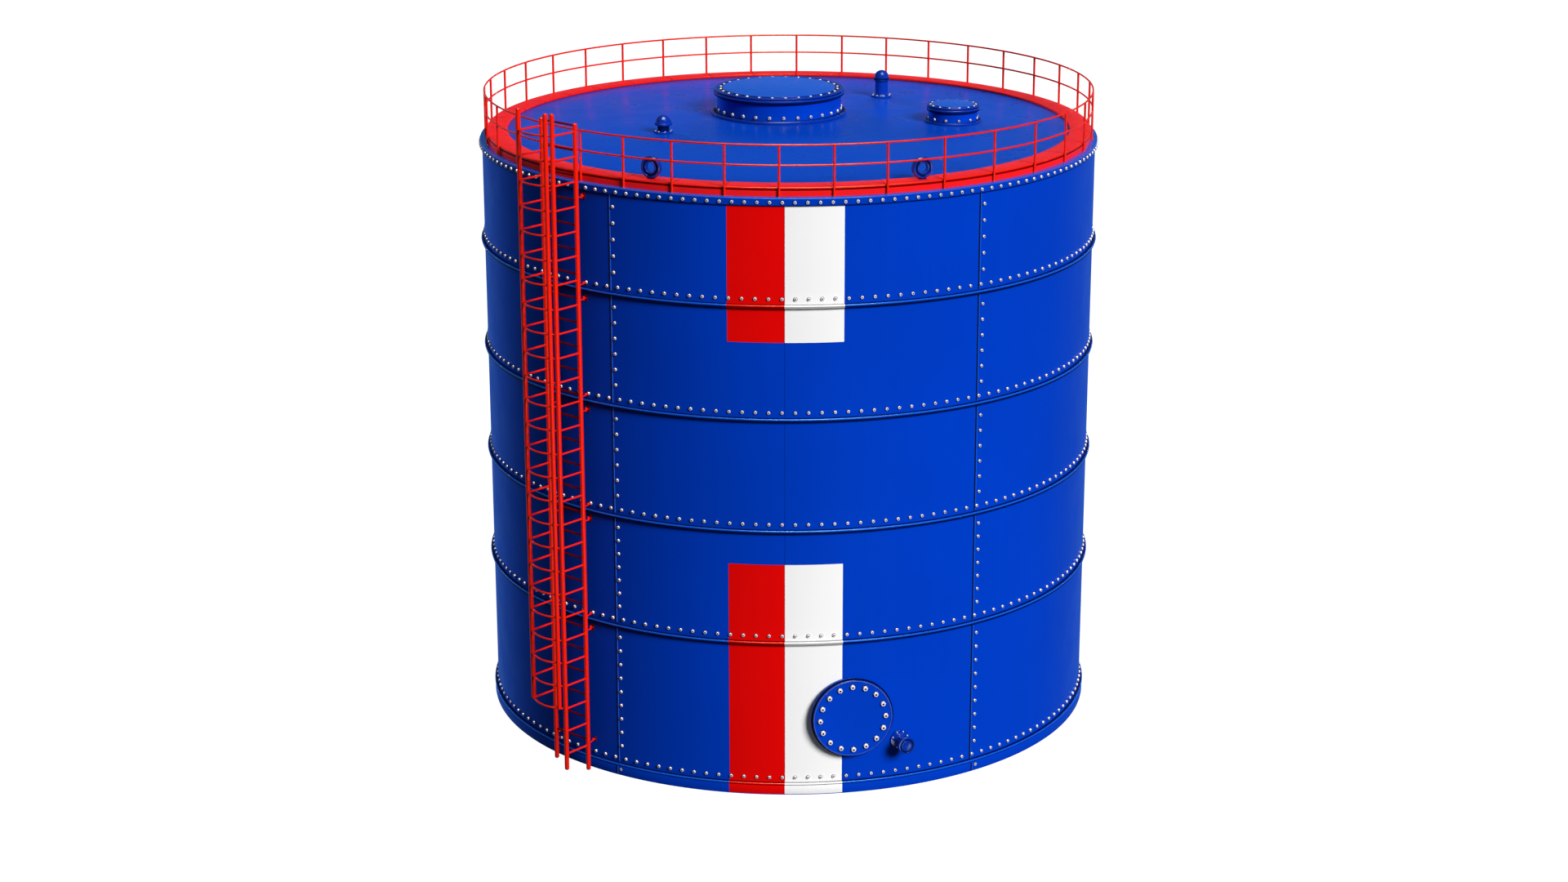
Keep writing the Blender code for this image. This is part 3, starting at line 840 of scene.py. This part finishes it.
def make_walkway():
    """Red deck in sections that meet at the posts, with a rounded lip over a groove and a fascia."""
    low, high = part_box("walkway")
    fascia = WALKWAY_OUTER - DECK_LIP_PROUD
    skirt = WALKWAY_OUTER - WALKWAY_SKIRT
    groove = skirt + 0.001
    roof_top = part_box("roof_plate")[1].z + GAP
    lip_foot = high.z - DECK_LIP
    groove_foot = lip_foot - DECK_GROOVE
    inner_groove = roof_top + 0.006
    profile = rounded([(WALKWAY_INNER + 0.004, roof_top), (skirt, roof_top), (skirt, low.z), (fascia, low.z),
                       (fascia, groove_foot, 0.002), (groove, groove_foot + 0.003), (groove, lip_foot),
                       (WALKWAY_OUTER, lip_foot, 0.005), (WALKWAY_OUTER, high.z, 0.014),
                       (WALKWAY_INNER, high.z, 0.005), (WALKWAY_INNER, inner_groove, 0.001),
                       (WALKWAY_INNER + 0.004, inner_groove)], closed=True)
    half_joint = math.degrees(DECK_JOINT / 2 / WALKWAY_OUTER)

    # The groove under the lip and the groove at the inner foot take painted shade; the deck's outer and inner
    # edges take the glossier rail red
    def colour(azimuth, radius, height):
        if radius > groove - 0.0005 and groove_foot + 0.001 < height < lip_foot + 0.0002:
            return 1
        if radius < WALKWAY_INNER + 0.005 and height < inner_groove + 0.0005:
            return 1
        edge = radius > WALKWAY_OUTER - 0.010 or radius < WALKWAY_INNER + 0.006
        return 2 if edge and height > lip_foot else 0

    posts = post_azimuths()
    shape = Shape()
    for start, end in zip(posts, posts[1:] + [posts[0] + 360.0]):
        sections = [(azimuth, profile) for azimuth in azimuth_range(start + half_joint, end - half_joint)]
        carried(shape, sections, closed=False, finish=colour)
    make("walkway_deck", shape, ["deck_red", "red_painted_shade", "rail_red"], ["walkway"])
    # Liners in the gaps where the deck sections meet, in painted shade
    recess = 0.004
    liner = [(WALKWAY_INNER + recess, roof_top), (skirt - 0.001, roof_top), (skirt - 0.001, low.z),
             (fascia - recess, low.z), (fascia - recess, high.z - recess),
             (WALKWAY_INNER + recess, high.z - recess)]
    shape = Shape()
    for azimuth in posts:
        carried(shape, [(azimuth - half_joint, liner), (azimuth + half_joint, liner)], closed=False)
    make("walkway_joints", shape, ["red_painted_shade"])


def make_guard_rail():
    """Nine panels of four or five posts and two tube rails, which meet halfway between two posts."""
    radius = WALKWAY_OUTER + GAP + POST_RADIUS
    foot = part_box("top_flange")[1].z + GAP
    end_gap = 0.002
    weld = rounded([(0.0, 0.0), (POST_RADIUS + 0.006, 0.0, 0.003), (POST_RADIUS + 0.001, 0.009, 0.003),
                    (0.0, 0.009)])
    posts = post_azimuths()
    around_tank = [posts[-1] - 360.0, *posts, posts[0] + 360.0]
    middles = [(before + after) / 2 for before, after in zip(around_tank, around_tank[1:])]
    for panel in range(RAIL_PANELS):
        first = len(posts) * panel // RAIL_PANELS
        last = len(posts) * (panel + 1) // RAIL_PANELS
        start = middles[first] + end_gap
        end = middles[last] - end_gap
        shape = Shape()
        for height in RAIL_HEIGHTS:
            route = [polar(radius, azimuth, height) for azimuth in azimuth_range(start, end)]
            tube(shape, route, RAIL_RADIUS, 12, start_cut=polar(1.0, start + 90.0, 0.0),
                 end_cut=polar(1.0, end + 90.0, 0.0))
        for azimuth in posts[first:last]:
            bottom = polar(radius, azimuth, foot)
            tube(shape, [bottom, polar(radius, azimuth, RAIL_HEIGHTS[-1])], POST_RADIUS, 16)
            lathe(shape, weld, Matrix.Translation(bottom), 16)
        make(f"guard_rail_{panel + 1}", shape, ["rail_red"],
             [f"guard_rail_panel_{panel + 1}"], sharp_angle=50.0)


def ladder_point(side, distance, height):
    """A point of the ladder: side along the wall, distance from the axis of the tank."""
    along_wall = polar(1.0, LADDER_AZIMUTH + 90.0, 0.0)
    return polar(1.0, LADDER_AZIMUTH, 0.0) * distance + along_wall * side + Vector((0.0, 0.0, height))


def hoop_heights():
    return [FIRST_HOOP + RUNG_PITCH * level for level in range(HOOP_COUNT)]


def hoop_point(share, height):
    """A point of a hoop of the cage, at a share of the way from its left end to its right one."""
    side = LADDER_HALF_WIDTH * (2.0 * share - 1.0)
    return ladder_point(side, CAGE_DISTANCE + CAGE_BULGE * math.sin(math.pi * share), height)


def upright_bar(shape, foot, top):
    """Tube that stands upright, with a rounded foot and a domed head."""
    lift = Vector((0.0, 0.0, BAR_RADIUS * DOME_SQUASH))
    tube(shape, [foot + lift, top - lift], BAR_RADIUS, 20, domed=True)


def bracket_levels():
    """Heights of the ladder's brackets: small ones over the rings, and larger ones under them."""
    rings = [ring_height(number) for number in RINGS]
    shell_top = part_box("shell_plate_1")[1].z
    over = [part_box("base_ring")[1].z + FOOT_BRACKET_RISE]
    over += [level + SMALL_BRACKET_RISE for level in rings]
    under = [level - BRACKET_DROP for level in (*rings, shell_top)]
    return [(level, SMALL_BRACKET) for level in over] + [(level, LARGE_BRACKET) for level in under]


def make_ladder():
    low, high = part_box("ladder")
    shape = Shape()
    for side in (-LADDER_HALF_WIDTH, LADDER_HALF_WIDTH):
        ends = [ladder_point(side, LADDER_DISTANCE, height) for height in (low.z, high.z)]
        upright_bar(shape, *ends)
    for height in hoop_heights():
        rung = height + RUNG_LIFT
        if rung < high.z:
            ends = [ladder_point(side, LADDER_DISTANCE, rung)
                    for side in (-LADDER_HALF_WIDTH, LADDER_HALF_WIDTH)]
            # Rungs take the darker red, painted shade
            tube(shape, ends, RUNG_RADIUS, 10, finish=1)
    wall = math.sqrt(RADIUS ** 2 - LADDER_HALF_WIDTH ** 2) + 0.003
    for height, tall in bracket_levels():
        for side in (-1.0, 1.0):
            stile = ladder_point(side * LADDER_HALF_WIDTH, LADDER_DISTANCE - BAR_RADIUS * 0.9, height)
            seat = ladder_point(side * (LADDER_HALF_WIDTH - BRACKET_SPLAY), wall, height)
            pad = Matrix.Translation(seat) @ outward_turn(LADDER_AZIMUTH)
            # Bracket pads take the darker red, painted shade
            block(shape, pad, (0.040, tall, 0.008), 0.002, finish=1)
            block(shape, pad @ Matrix.Translation((0.0, 0.0, 0.030)), (0.012, tall * 0.6, 0.030), 0.002)
            tube(shape, [seat, stile], 0.010, 8)
    make("ladder_frame", shape, ["rail_red", "red_painted_shade"], ["ladder"], sharp_angle=50.0)


def make_cage():
    heights = hoop_heights()
    for name, side, levels in (("cage_left_side", -LADDER_HALF_WIDTH, heights[FIRST_FULL_HOOP:]),
                               ("cage_right_side", LADDER_HALF_WIDTH, heights)):
        low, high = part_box(name)
        shape = Shape()
        upright_bar(shape, *[ladder_point(side, CAGE_DISTANCE, height) for height in (low.z, high.z)])
        for height in levels:
            reach = [ladder_point(side, distance, height)
                     for distance in (LADDER_DISTANCE + BAR_RADIUS * 0.9, CAGE_DISTANCE)]
            tube(shape, reach, RUNG_RADIUS, 12)
        make(name + "_bars", shape, ["rail_red"], [name], sharp_angle=50.0)
    low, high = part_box("cage_front")
    shape = Shape()
    upright_bar(shape, *[hoop_point(CAGE_MIDDLE_SHARE, height) for height in (low.z, high.z)])
    steps = 16
    for height in heights[FIRST_FULL_HOOP:]:
        tube(shape, [hoop_point(step / steps, height) for step in range(steps + 1)], RUNG_RADIUS, 12)
    make("cage_front_hoops", shape, ["rail_red"], ["cage_front"], sharp_angle=50.0)


def nut_template():
    """Points, faces and finishes of one fastener, which stands on its local z of 0, one corner up."""
    points = []
    finishes = [1]
    for radius, height, hexagonal, finish in NUT_ROWS:
        for index in range(NUT_SIDES):
            reach = radius * (math.cos(math.pi / 6) if hexagonal and index % 2 else 1.0)
            turn = math.pi / 2 + math.tau * index / NUT_SIDES
            points.append((reach * math.cos(turn), reach * math.sin(turn), height))
        finishes += [finish] * NUT_SIDES
    top = (len(NUT_ROWS) - 1) * NUT_SIDES
    faces = [tuple(reversed(range(NUT_SIDES)))]
    faces += rows_of_faces(len(NUT_ROWS), NUT_SIDES)
    faces.append(tuple(range(top, top + NUT_SIDES)))
    return np.array(points), faces, finishes[:len(faces) - 1] + [1]


def scatter(name, places, size, rise=1.0):
    """One piece of many like fasteners, each turned a little and sized by chance."""
    stretch = Matrix.Diagonal((size, size, size * rise, 1.0))
    points, faces, finishes = nut_template()
    shape = Shape()
    for place in places:
        spin = Matrix.Rotation(rng.uniform(-NUT_TURN, NUT_TURN), 4, "Z")
        scale = Matrix.Scale(rng.uniform(1.0 - NUT_SIZE_SPREAD, 1.0 + NUT_SIZE_SPREAD), 4)
        matrix = np.array(place @ spin @ stretch @ scale)
        moved = points @ matrix[:3, :3].T + matrix[:3, 3]
        shape.add(moved.tolist(), faces, finishes)
    # Each fastener's washer and the recess round its stud take the dark finish, painted shade
    return make(name, shape, ["zinc", "sealant_and_shade"], sharp_angle=40.0)


def ring_of_bolts(radius, height, count):
    return [facing_out(360.0 * (index + 0.5) / count, radius, height) for index in range(count)]


def make_shell_fasteners():
    """A row above every ring, one round the top flange and one beside every strapped seam."""
    for number in RINGS:
        height = ring_height(number) + RING_BOLT_LIFT
        scatter(f"ring_bolts_{number}", ring_of_bolts(RADIUS + GAP, height, RING_BOLTS), RIVET_SIZE)
    base_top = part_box("base_ring")[1].z
    height = base_top - RING_LEDGE_FOOT + RING_BOLT_LIFT
    scatter("base_bolts", ring_of_bolts(RADIUS + GAP, height, RING_BOLTS), RIVET_SIZE)
    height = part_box("top_flange")[1].z - FLANGE_BOLT_DROP
    scatter("flange_bolts", ring_of_bolts(FLANGE_OUTER + GAP, height, FLANGE_BOLTS), RIVET_SIZE)
    for number, azimuth in enumerate(strapped_seams()):
        beside = azimuth + SEAM_BOLT_SIDESTEP
        scatter(f"base_seam_bolt_{number + 1}", [facing_out(beside, BASE_STRIP_OUTER + GAP, base_top / 2)],
                RIVET_SIZE, 0.4)
        places = []
        for low, high in course_levels():
            foot = low + SEAM_BOLT_START
            count = max(2, round((high - foot) / SEAM_BOLT_PITCH))
            step = (high - foot) / count
            places += [facing_out(beside, RADIUS + GAP, foot + step * (index + 0.3))
                       for index in range(count)]
        scatter(f"seam_bolts_{number + 1}", places, RIVET_SIZE)


def make_manhole():
    """Neck with a wide flange, gasket and a slightly smaller cover held by sixteen studs."""
    place = facing_out(MANHOLE_AZIMUTH, RADIUS, middle("manhole_cover").z)
    surfaces = ["blue", "blue_painted_shade", "bead_blue_painted_highlight", "gloss_blue"]
    neck = MANHOLE_NECK
    rim = MANHOLE_RIM
    lid = rim - 0.020
    face = MANHOLE_PROUD - 0.018
    collar = [(0.0, 0.001), (neck + 0.012, 0.001, 0.004), (neck + 0.004, 0.010, 0.004), (neck, 0.024, 0.003),
              (rim - 0.004, 0.024, 0.003), (rim - 0.004, 0.062, 0.008), (0.0, 0.062)]
    gasket = [(0.0, 0.0625), (lid - 0.012, 0.0625), (lid - 0.012, 0.0685), (0.0, 0.0685)]
    cover = [(0.0, 0.069), (rim - 0.001, 0.069, 0.001), (rim - 0.001, 0.0705, 0.0005), (lid, 0.0705),
             (lid, face, 0.012), (lid - 0.016, face + 0.001, 0.004), (lid - 0.022, face - 0.004, 0.002),
             (0.0, face - 0.004)]

    # The collar's rim edge takes the lighter bead blue, a painted highlight, and its front face painted shade;
    # the cover's side takes painted shade and its rim the glossy blue
    def collar_finish(radius, height):
        if radius > rim - 0.014 and height > 0.05:
            return 2
        return 1 if height > 0.06 else 0

    def cover_finish(radius, height):
        if height < face - 0.013:
            return 1
        return 3 if radius > lid - 0.019 else 0

    turned("manhole_collar", collar, place, 128, surfaces, ["manhole_neck"], collar_finish)
    turned("manhole_gasket", gasket, place, 128, ["sealant_and_shade"])
    turned("manhole_lid", cover, place, 128, surfaces, ["manhole_cover"], cover_finish)
    places = around(place, MANHOLE_BOLT_CIRCLE, face - 0.004, MANHOLE_BOLTS, 0.05)
    scatter("manhole_nuts", places, MANHOLE_NUT_SIZE, 0.95)


def make_drain():
    """Short flanged spout with a bolted pad, a collar and a ringed end."""
    place = facing_out(DRAIN_AZIMUTH, RADIUS, middle("drain_nozzle").z)
    end = DRAIN_LENGTH
    corners = [(0.0, 0.001), (0.135, 0.001, 0.003), (0.135, 0.026, 0.006), (0.094, 0.028, 0.003),
               (0.086, 0.050, 0.008), (0.066, 0.058, 0.010), (0.066, 0.118, 0.004), (0.084, 0.124, 0.004),
               (0.084, 0.150, 0.004), (0.070, 0.156, 0.003), (0.070, 0.206, 0.004), (0.116, 0.214, 0.006),
               (0.122, 0.226, 0.006), (0.122, end - 0.010, 0.010), (0.098, end - 0.004, 0.003),
               (0.092, end - 0.016, 0.002), (0.080, end - 0.016, 0.002), (0.076, end, 0.004),
               (0.064, end, 0.003), (0.058, end - 0.010, 0.002), (0.0, end - 0.010)]

    # The recessed rings of the end face take painted shade
    def colour(radius, height):
        recessed = height > end - 0.018 and 0.057 < radius < 0.097
        return 1 if recessed and not 0.062 < radius < 0.078 else 0

    turned("drain_spout", corners, place, 64, FITTING_SURFACES, ["drain_nozzle"], colour)
    scatter("drain_bolts", around(place, 0.114, 0.026, 8), 0.50)


def hatch_drum(name, place, radius, edge):
    """Drum with a grooved foot flange and a thin lip at its head, sized by the flange's edge."""
    low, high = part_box(name + "_curb")
    flange = half_width(name + "_curb")
    top = high.z - low.z
    groove = radius + edge * 0.35
    corners = [(0.0, 0.0), (flange, 0.0, edge * 0.2), (flange, edge * 0.9, edge * 0.4),
               (flange - edge * 0.7, edge * 0.9, edge * 0.25), (flange - edge * 0.8, edge * 0.6, edge * 0.1),
               (groove, edge * 0.6, edge * 0.1), (radius, edge * 0.9, edge * 0.1),
               (radius, top - edge * 0.4, edge * 0.1), (radius + edge * 0.2, top - edge * 0.3, edge * 0.1),
               (radius + edge * 0.2, top, edge * 0.05), (0.0, top)]

    # The groove on the foot flange and the lip at the head take painted shade; the flange's edge takes the
    # glossy blue
    def finish(distance, height):
        if distance > flange - edge * 0.78:
            return 2
        in_groove = distance > radius + 0.001 and height < edge * 0.85
        return 1 if in_groove or height > top - edge * 0.4 else 0

    turned(name + "_drum", corners, place, 128, ["blue", "blue_painted_shade", "gloss_blue"], [name + "_curb"], finish)


def hatch_lid(name, place, channel, bolts, bolt_size):
    """Lid with two stacked rims and a bolt channel round a disc, its heights in ninths of its thickness."""
    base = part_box(name + "_curb")[0].z
    low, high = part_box(name + "_lid")
    rim = half_width(name + "_lid")
    foot = low.z - base
    top = high.z - base
    step = (top - foot) / 9
    disc = rim - channel * 1.25
    inner = rim - channel * 0.70
    outer = rim - channel * 0.20
    floor = top - step * 1.7
    skirt = rim - step * 0.8
    waist = outer - step * 0.3
    corners = [(0.0, foot), (skirt, foot, step * 0.2), (skirt, foot + step * 2.2, step * 0.2),
               (rim, foot + step * 2.6, step * 0.7), (rim, foot + step * 4.6, step * 0.8),
               (waist, foot + step * 4.9, step * 0.1), (waist, foot + step * 6.2, step * 0.1),
               (outer, foot + step * 6.3, step * 0.2), (outer, top - step * 0.7, step * 0.8),
               (inner, top - step * 0.7, step * 0.5), (inner, floor, step * 0.1), (disc, floor, step * 0.1),
               (disc, top, step * 0.7), (0.0, top)]

    # The channel floor, the groove between the rims and the lid's lower part take painted shade; the disc's
    # top takes the lighter lid blue, a painted highlight; the rims take the glossy blue
    def finish(radius, height):
        channel_floor = disc - 0.0005 < radius < inner + 0.0005 and height < floor + step * 0.3
        groove = radius < outer and foot + step * 5.0 < height < foot + step * 6.25
        if channel_floor or groove or height < foot + step * 2.3:
            return 1
        return 3 if radius < disc - step * 0.7 else 2

    surfaces = ["blue", "blue_painted_shade", "gloss_blue", "lid_blue_painted_highlight"]
    turned(name + "_cover", corners, place, 128, surfaces, [name + "_lid"], finish)
    scatter(name + "_lid_bolts", around(place, (inner + disc) / 2, floor, bolts), bolt_size)


def make_hatch(name, edge, channel, lid_bolts, lid_bolt_size, foot_bolts, foot_bolt_size):
    """Roof hatch: a drum on a bolted foot flange, and a bolted lid."""
    place = standing_on(name + "_curb")
    drum = half_width(name + "_lid") - channel * 0.50
    hatch_drum(name, place, drum, edge)
    hatch_lid(name, place, channel, lid_bolts, lid_bolt_size)
    outward = Matrix.Rotation(math.radians(-90.0), 4, "X")
    foot_places = around(place, drum, edge + foot_bolt_size * 0.030, foot_bolts, 0.35)
    scatter(name + "_foot_bolts", [bolt @ outward for bolt in foot_places], foot_bolt_size)


def make_hatches():
    make_hatch("roof_hatch", edge=0.050, channel=0.105, lid_bolts=28, lid_bolt_size=0.84,
               foot_bolts=28, foot_bolt_size=1.05)
    make_hatch("side_hatch", edge=0.036, channel=0.060, lid_bolts=14, lid_bolt_size=0.74,
               foot_bolts=12, foot_bolt_size=0.85)


def make_vent():
    """Tall vent: a flanged pipe under a domed cap with two grooves."""
    place = standing_on("vent_pipe")
    low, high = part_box("vent_pipe")
    cap_low, cap_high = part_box("vent_cap")
    flange = half_width("vent_pipe")
    cap = half_width("vent_cap")
    pipe = cap * 0.80
    top = high.z - low.z
    stem = [(0.0, 0.0), (flange, 0.0, 0.004), (flange, 0.026, 0.008), (pipe + 0.010, 0.028, 0.003),
            (pipe, 0.044, 0.005), (pipe, top - 0.014, 0.003), (pipe + 0.006, top, 0.002), (0.0, top)]
    # The top of the pipe, under the cap, takes painted shade
    turned("vent_stem", stem, place, 64, FITTING_SURFACES, ["vent_pipe"],
           lambda radius, height: 1 if height > top - 0.022 else 0)
    foot = cap_low.z - low.z
    ball = cap * 0.91
    shoulder = cap_high.z - low.z - ball
    waist = (foot + shoulder) / 2 - 0.006
    brim = [(0.0, foot), (cap, foot, 0.005), (cap, waist - 0.005, 0.005), (cap - 0.010, waist, 0.001),
            (cap - 0.010, waist + 0.007, 0.001), (cap - 0.002, waist + 0.012, 0.005),
            (cap - 0.002, shoulder - 0.014, 0.005), (ball + 0.002, shoulder - 0.010, 0.001)]

    # The waist groove and the groove under the dome take painted shade
    def brim_finish(radius, height):
        waist_groove = radius < cap - 0.006 and waist - 0.002 < height < waist + 0.009
        top_groove = radius < ball + 0.006 and shoulder - 0.014 < height < shoulder + 0.004
        return 1 if radius > ball - 0.004 and (waist_groove or top_groove) else 0

    turned("vent_hood", brim + dome(ball, shoulder), place, 64, FITTING_SURFACES, ["vent_cap"], brim_finish)
    scatter("vent_bolts", around(place, (flange + pipe) / 2 + 0.006, 0.027, 8, 0.3), 0.55)


def make_side_vent():
    """Low vent: a waisted body under a dome."""
    place = standing_on("side_vent")
    low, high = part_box("side_vent")
    wide = half_width("side_vent")
    ball = wide * 0.81
    shoulder = high.z - low.z - ball
    body = wide * 0.62
    brim = [(0.0, 0.0), (wide, 0.0, 0.004), (wide, 0.026, 0.008), (body, 0.028, 0.004),
            (body, shoulder - 0.040, 0.004), (wide * 0.90, shoulder - 0.036, 0.005),
            (wide * 0.99, shoulder - 0.012, 0.006), (wide * 0.95, shoulder - 0.002, 0.003),
            (ball + 0.004, shoulder - 0.008, 0.002)]
    # The waisted body under the brim takes painted shade
    turned("side_vent_dome", brim + dome(ball, shoulder), place, 64, FITTING_SURFACES, ["side_vent"],
           lambda radius, height: 1 if radius < body + 0.004 and 0.028 < height < shoulder - 0.034 else 0)
    scatter("side_vent_bolts", around(place, wide - 0.018, 0.026, 8, 0.3), 0.45)


def make_eyes():
    """Lifting rings of stepped rims round a hole, each on a small foot on the walkway."""
    rim = EYE_OUTER
    hole = EYE_HOLE
    half = EYE_HALF
    corners = [(hole, -half + 0.012, 0.004), (hole + 0.018, -half, 0.006), (rim - 0.020, -half, 0.010),
               (rim, -half + 0.020, 0.014), (rim, half - 0.022, 0.014), (rim - 0.020, half, 0.010),
               (rim - 0.034, half - 0.004, 0.004), (rim - 0.038, half - 0.016, 0.002),
               (hole + 0.024, half - 0.016, 0.002), (hole + 0.018, half - 0.001, 0.008),
               (hole, half - 0.008, 0.005)]

    # The groove between the rims and the foot take painted shade
    def colour(radius, height):
        return 1 if height > 0.0 and hole + 0.020 < radius < rim - 0.040 and height < half - 0.008 else 0

    for side in ("left", "right"):
        node = f"roof_eye_{side}"
        low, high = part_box(node)
        centre = middle(node)
        azimuth = math.degrees(math.atan2(centre.x, -centre.y))
        shape = Shape()
        place = facing_out(azimuth, EYE_AXIS_DISTANCE, high.z - rim)
        lathe(shape, rounded(corners, closed=True), place, 64, finish=colour)
        turn = Matrix.Rotation(math.radians(azimuth), 4, "Z")
        foot = Matrix.Translation(polar(EYE_AXIS_DISTANCE, azimuth, low.z)) @ turn
        block(shape, foot, (0.09, 0.075, 0.040), 0.004, finish=1)
        make(f"lifting_eye_{side}", shape, FITTING_SURFACES, [node])


def stage_piece(name, bm, surface):
    """Floor, backdrop or reflector of the studio, which light nothing."""
    mesh = bpy.data.meshes.new(name)
    bm.to_mesh(mesh)
    bm.free()
    mesh.materials.append(surface)
    piece = add_object(name, mesh)
    piece.visible_diffuse = False
    return piece


def glowing(name, brightness, colour=(0.0, 0.0, 0.0)):
    surface, tree, shader = node_tree(name)
    fill(tree, shader, Base_Color=(*colour, 1.0), Roughness=1.0, Specular_IOR_Level=0.0,
         Emission_Color=(1.0, 1.0, 1.0, 1.0), Emission_Strength=brightness)
    surface.cycles.emission_sampling = "NONE"
    return surface, tree, shader


def studio_ball(name, radius, surface):
    bm = bmesh.new()
    bmesh.ops.create_uvsphere(bm, u_segments=48, v_segments=24, radius=radius)
    ball = stage_piece(name, bm, surface)
    ball.visible_shadow = False
    return ball


def make_stage():
    """Pale floor and backdrop that only the camera sees, and a cool reflector that only gloss sees."""
    bm = bmesh.new()
    bmesh.ops.create_circle(bm, cap_ends=True, segments=96, radius=FLOOR_RADIUS)
    floor = stage_piece("studio_floor", bm, glowing("studio_white", FLOOR_GLOW, FLOOR_GREY)[0])
    floor.visible_glossy = False
    backdrop = studio_ball("studio_backdrop", BACKDROP_RADIUS, glowing("studio_backdrop", 1.0)[0])
    backdrop.visible_glossy = False
    reflector = studio_ball("studio_reflector", REFLECTOR_RADIUS, reflector_glow())
    reflector.visible_camera = False


def reflector_glow():
    """Cool glow behind the tank and a bright upright strip at its front right."""
    surface, tree, shader = glowing("studio_reflector", 1.0)
    where = object_space(tree, (1.0 / REFLECTOR_RADIUS,) * 3)
    split = added(tree, "SeparateXYZ", Vector=where)
    behind = spread(tree, split.outputs["Y"], 0.0, 1.0, 0.2, 0.9)
    lower = spread(tree, split.outputs["Z"], 1.0, 0.0, -0.1, 0.1)
    far_glow = mixed(tree, lower, scaled(REFLECTION, 0.40), REFLECTION)
    glow = mixed(tree, behind, scaled(REFLECTION, 0.15), far_glow)
    towards = added(tree, "VectorMath")
    towards.operation = "DOT_PRODUCT"
    tree.links.new(where, towards.inputs[0])
    towards.inputs[1].default_value = polar(1.0, STRIP_LIGHT_AZIMUTH, -0.3).normalized()
    strip_share = spread(tree, towards.outputs["Value"], 0.0, 1.0, 0.955, 0.99)
    fill(tree, shader, Emission_Color=mixed(tree, strip_share, glow, STRIP_LIGHT))
    return surface


def add_sun(name, azimuth, elevation, level, angle, diffuse=True, glossy=True):
    """Sun whose light falls on an upright wall that faces it with the given level."""
    lamp = bpy.data.lights.new(name, "SUN")
    lamp.energy = level * math.pi / math.cos(math.radians(elevation))
    lamp.angle = math.radians(angle)
    sun = add_object(name, lamp)
    towards = polar(math.cos(math.radians(elevation)), azimuth, math.sin(math.radians(elevation)))
    sun.rotation_mode = "QUATERNION"
    sun.rotation_quaternion = towards.to_track_quat("Z", "Y")
    sun.location = towards * SUN_DISTANCE
    sun.visible_diffuse = diffuse
    sun.visible_glossy = glossy


def make_light():
    """Key light and two rims that gloss doesn't see, and a soft box overhead that only gloss sees."""
    add_sun("key", *KEY_LIGHT, glossy=False)
    add_sun("rim_left", *LEFT_RIM, glossy=False)
    add_sun("rim_right", *RIGHT_RIM, glossy=False)
    add_sun("soft_box", *SOFT_BOX, diffuse=False)
    world = bpy.data.worlds.new("studio")
    world.use_nodes = True
    background = world.node_tree.nodes["Background"]
    fill(world.node_tree, background, Color=(*WORLD_COLOUR, 1.0), Strength=WORLD_LEVEL)
    bpy.context.scene.world = world
    bpy.context.scene.view_settings.view_transform = "Standard"


def make_camera():
    lens = bpy.data.cameras.new("photo_view")
    lens.lens = LENS
    lens.sensor_width = SENSOR_WIDTH
    lens.shift_x = -AXIS_OFFSET_PIXELS / PICTURE_WIDTH
    lens.clip_end = FAR_CLIP
    camera = add_object("photo_view", lens)
    tilt = math.radians(VIEW_ELEVATION)
    height = VIEW_HEIGHT + VIEW_DISTANCE * math.sin(tilt)
    camera.location = polar(VIEW_DISTANCE * math.cos(tilt), 0.0, height)
    camera.rotation_euler = (math.pi / 2 - tilt, 0.0, 0.0)
    bpy.context.scene.camera = camera


make_camera()
make_light()
make_stage()
paints = make_materials()
make_shell()
make_seams()
make_rings()
make_base()
make_ground_plate()
make_flange()
make_roof()
make_walkway()
make_guard_rail()
make_ladder()
make_cage()
make_shell_fasteners()
make_manhole()
make_drain()
make_hatches()
make_vent()
make_side_vent()
make_eyes()
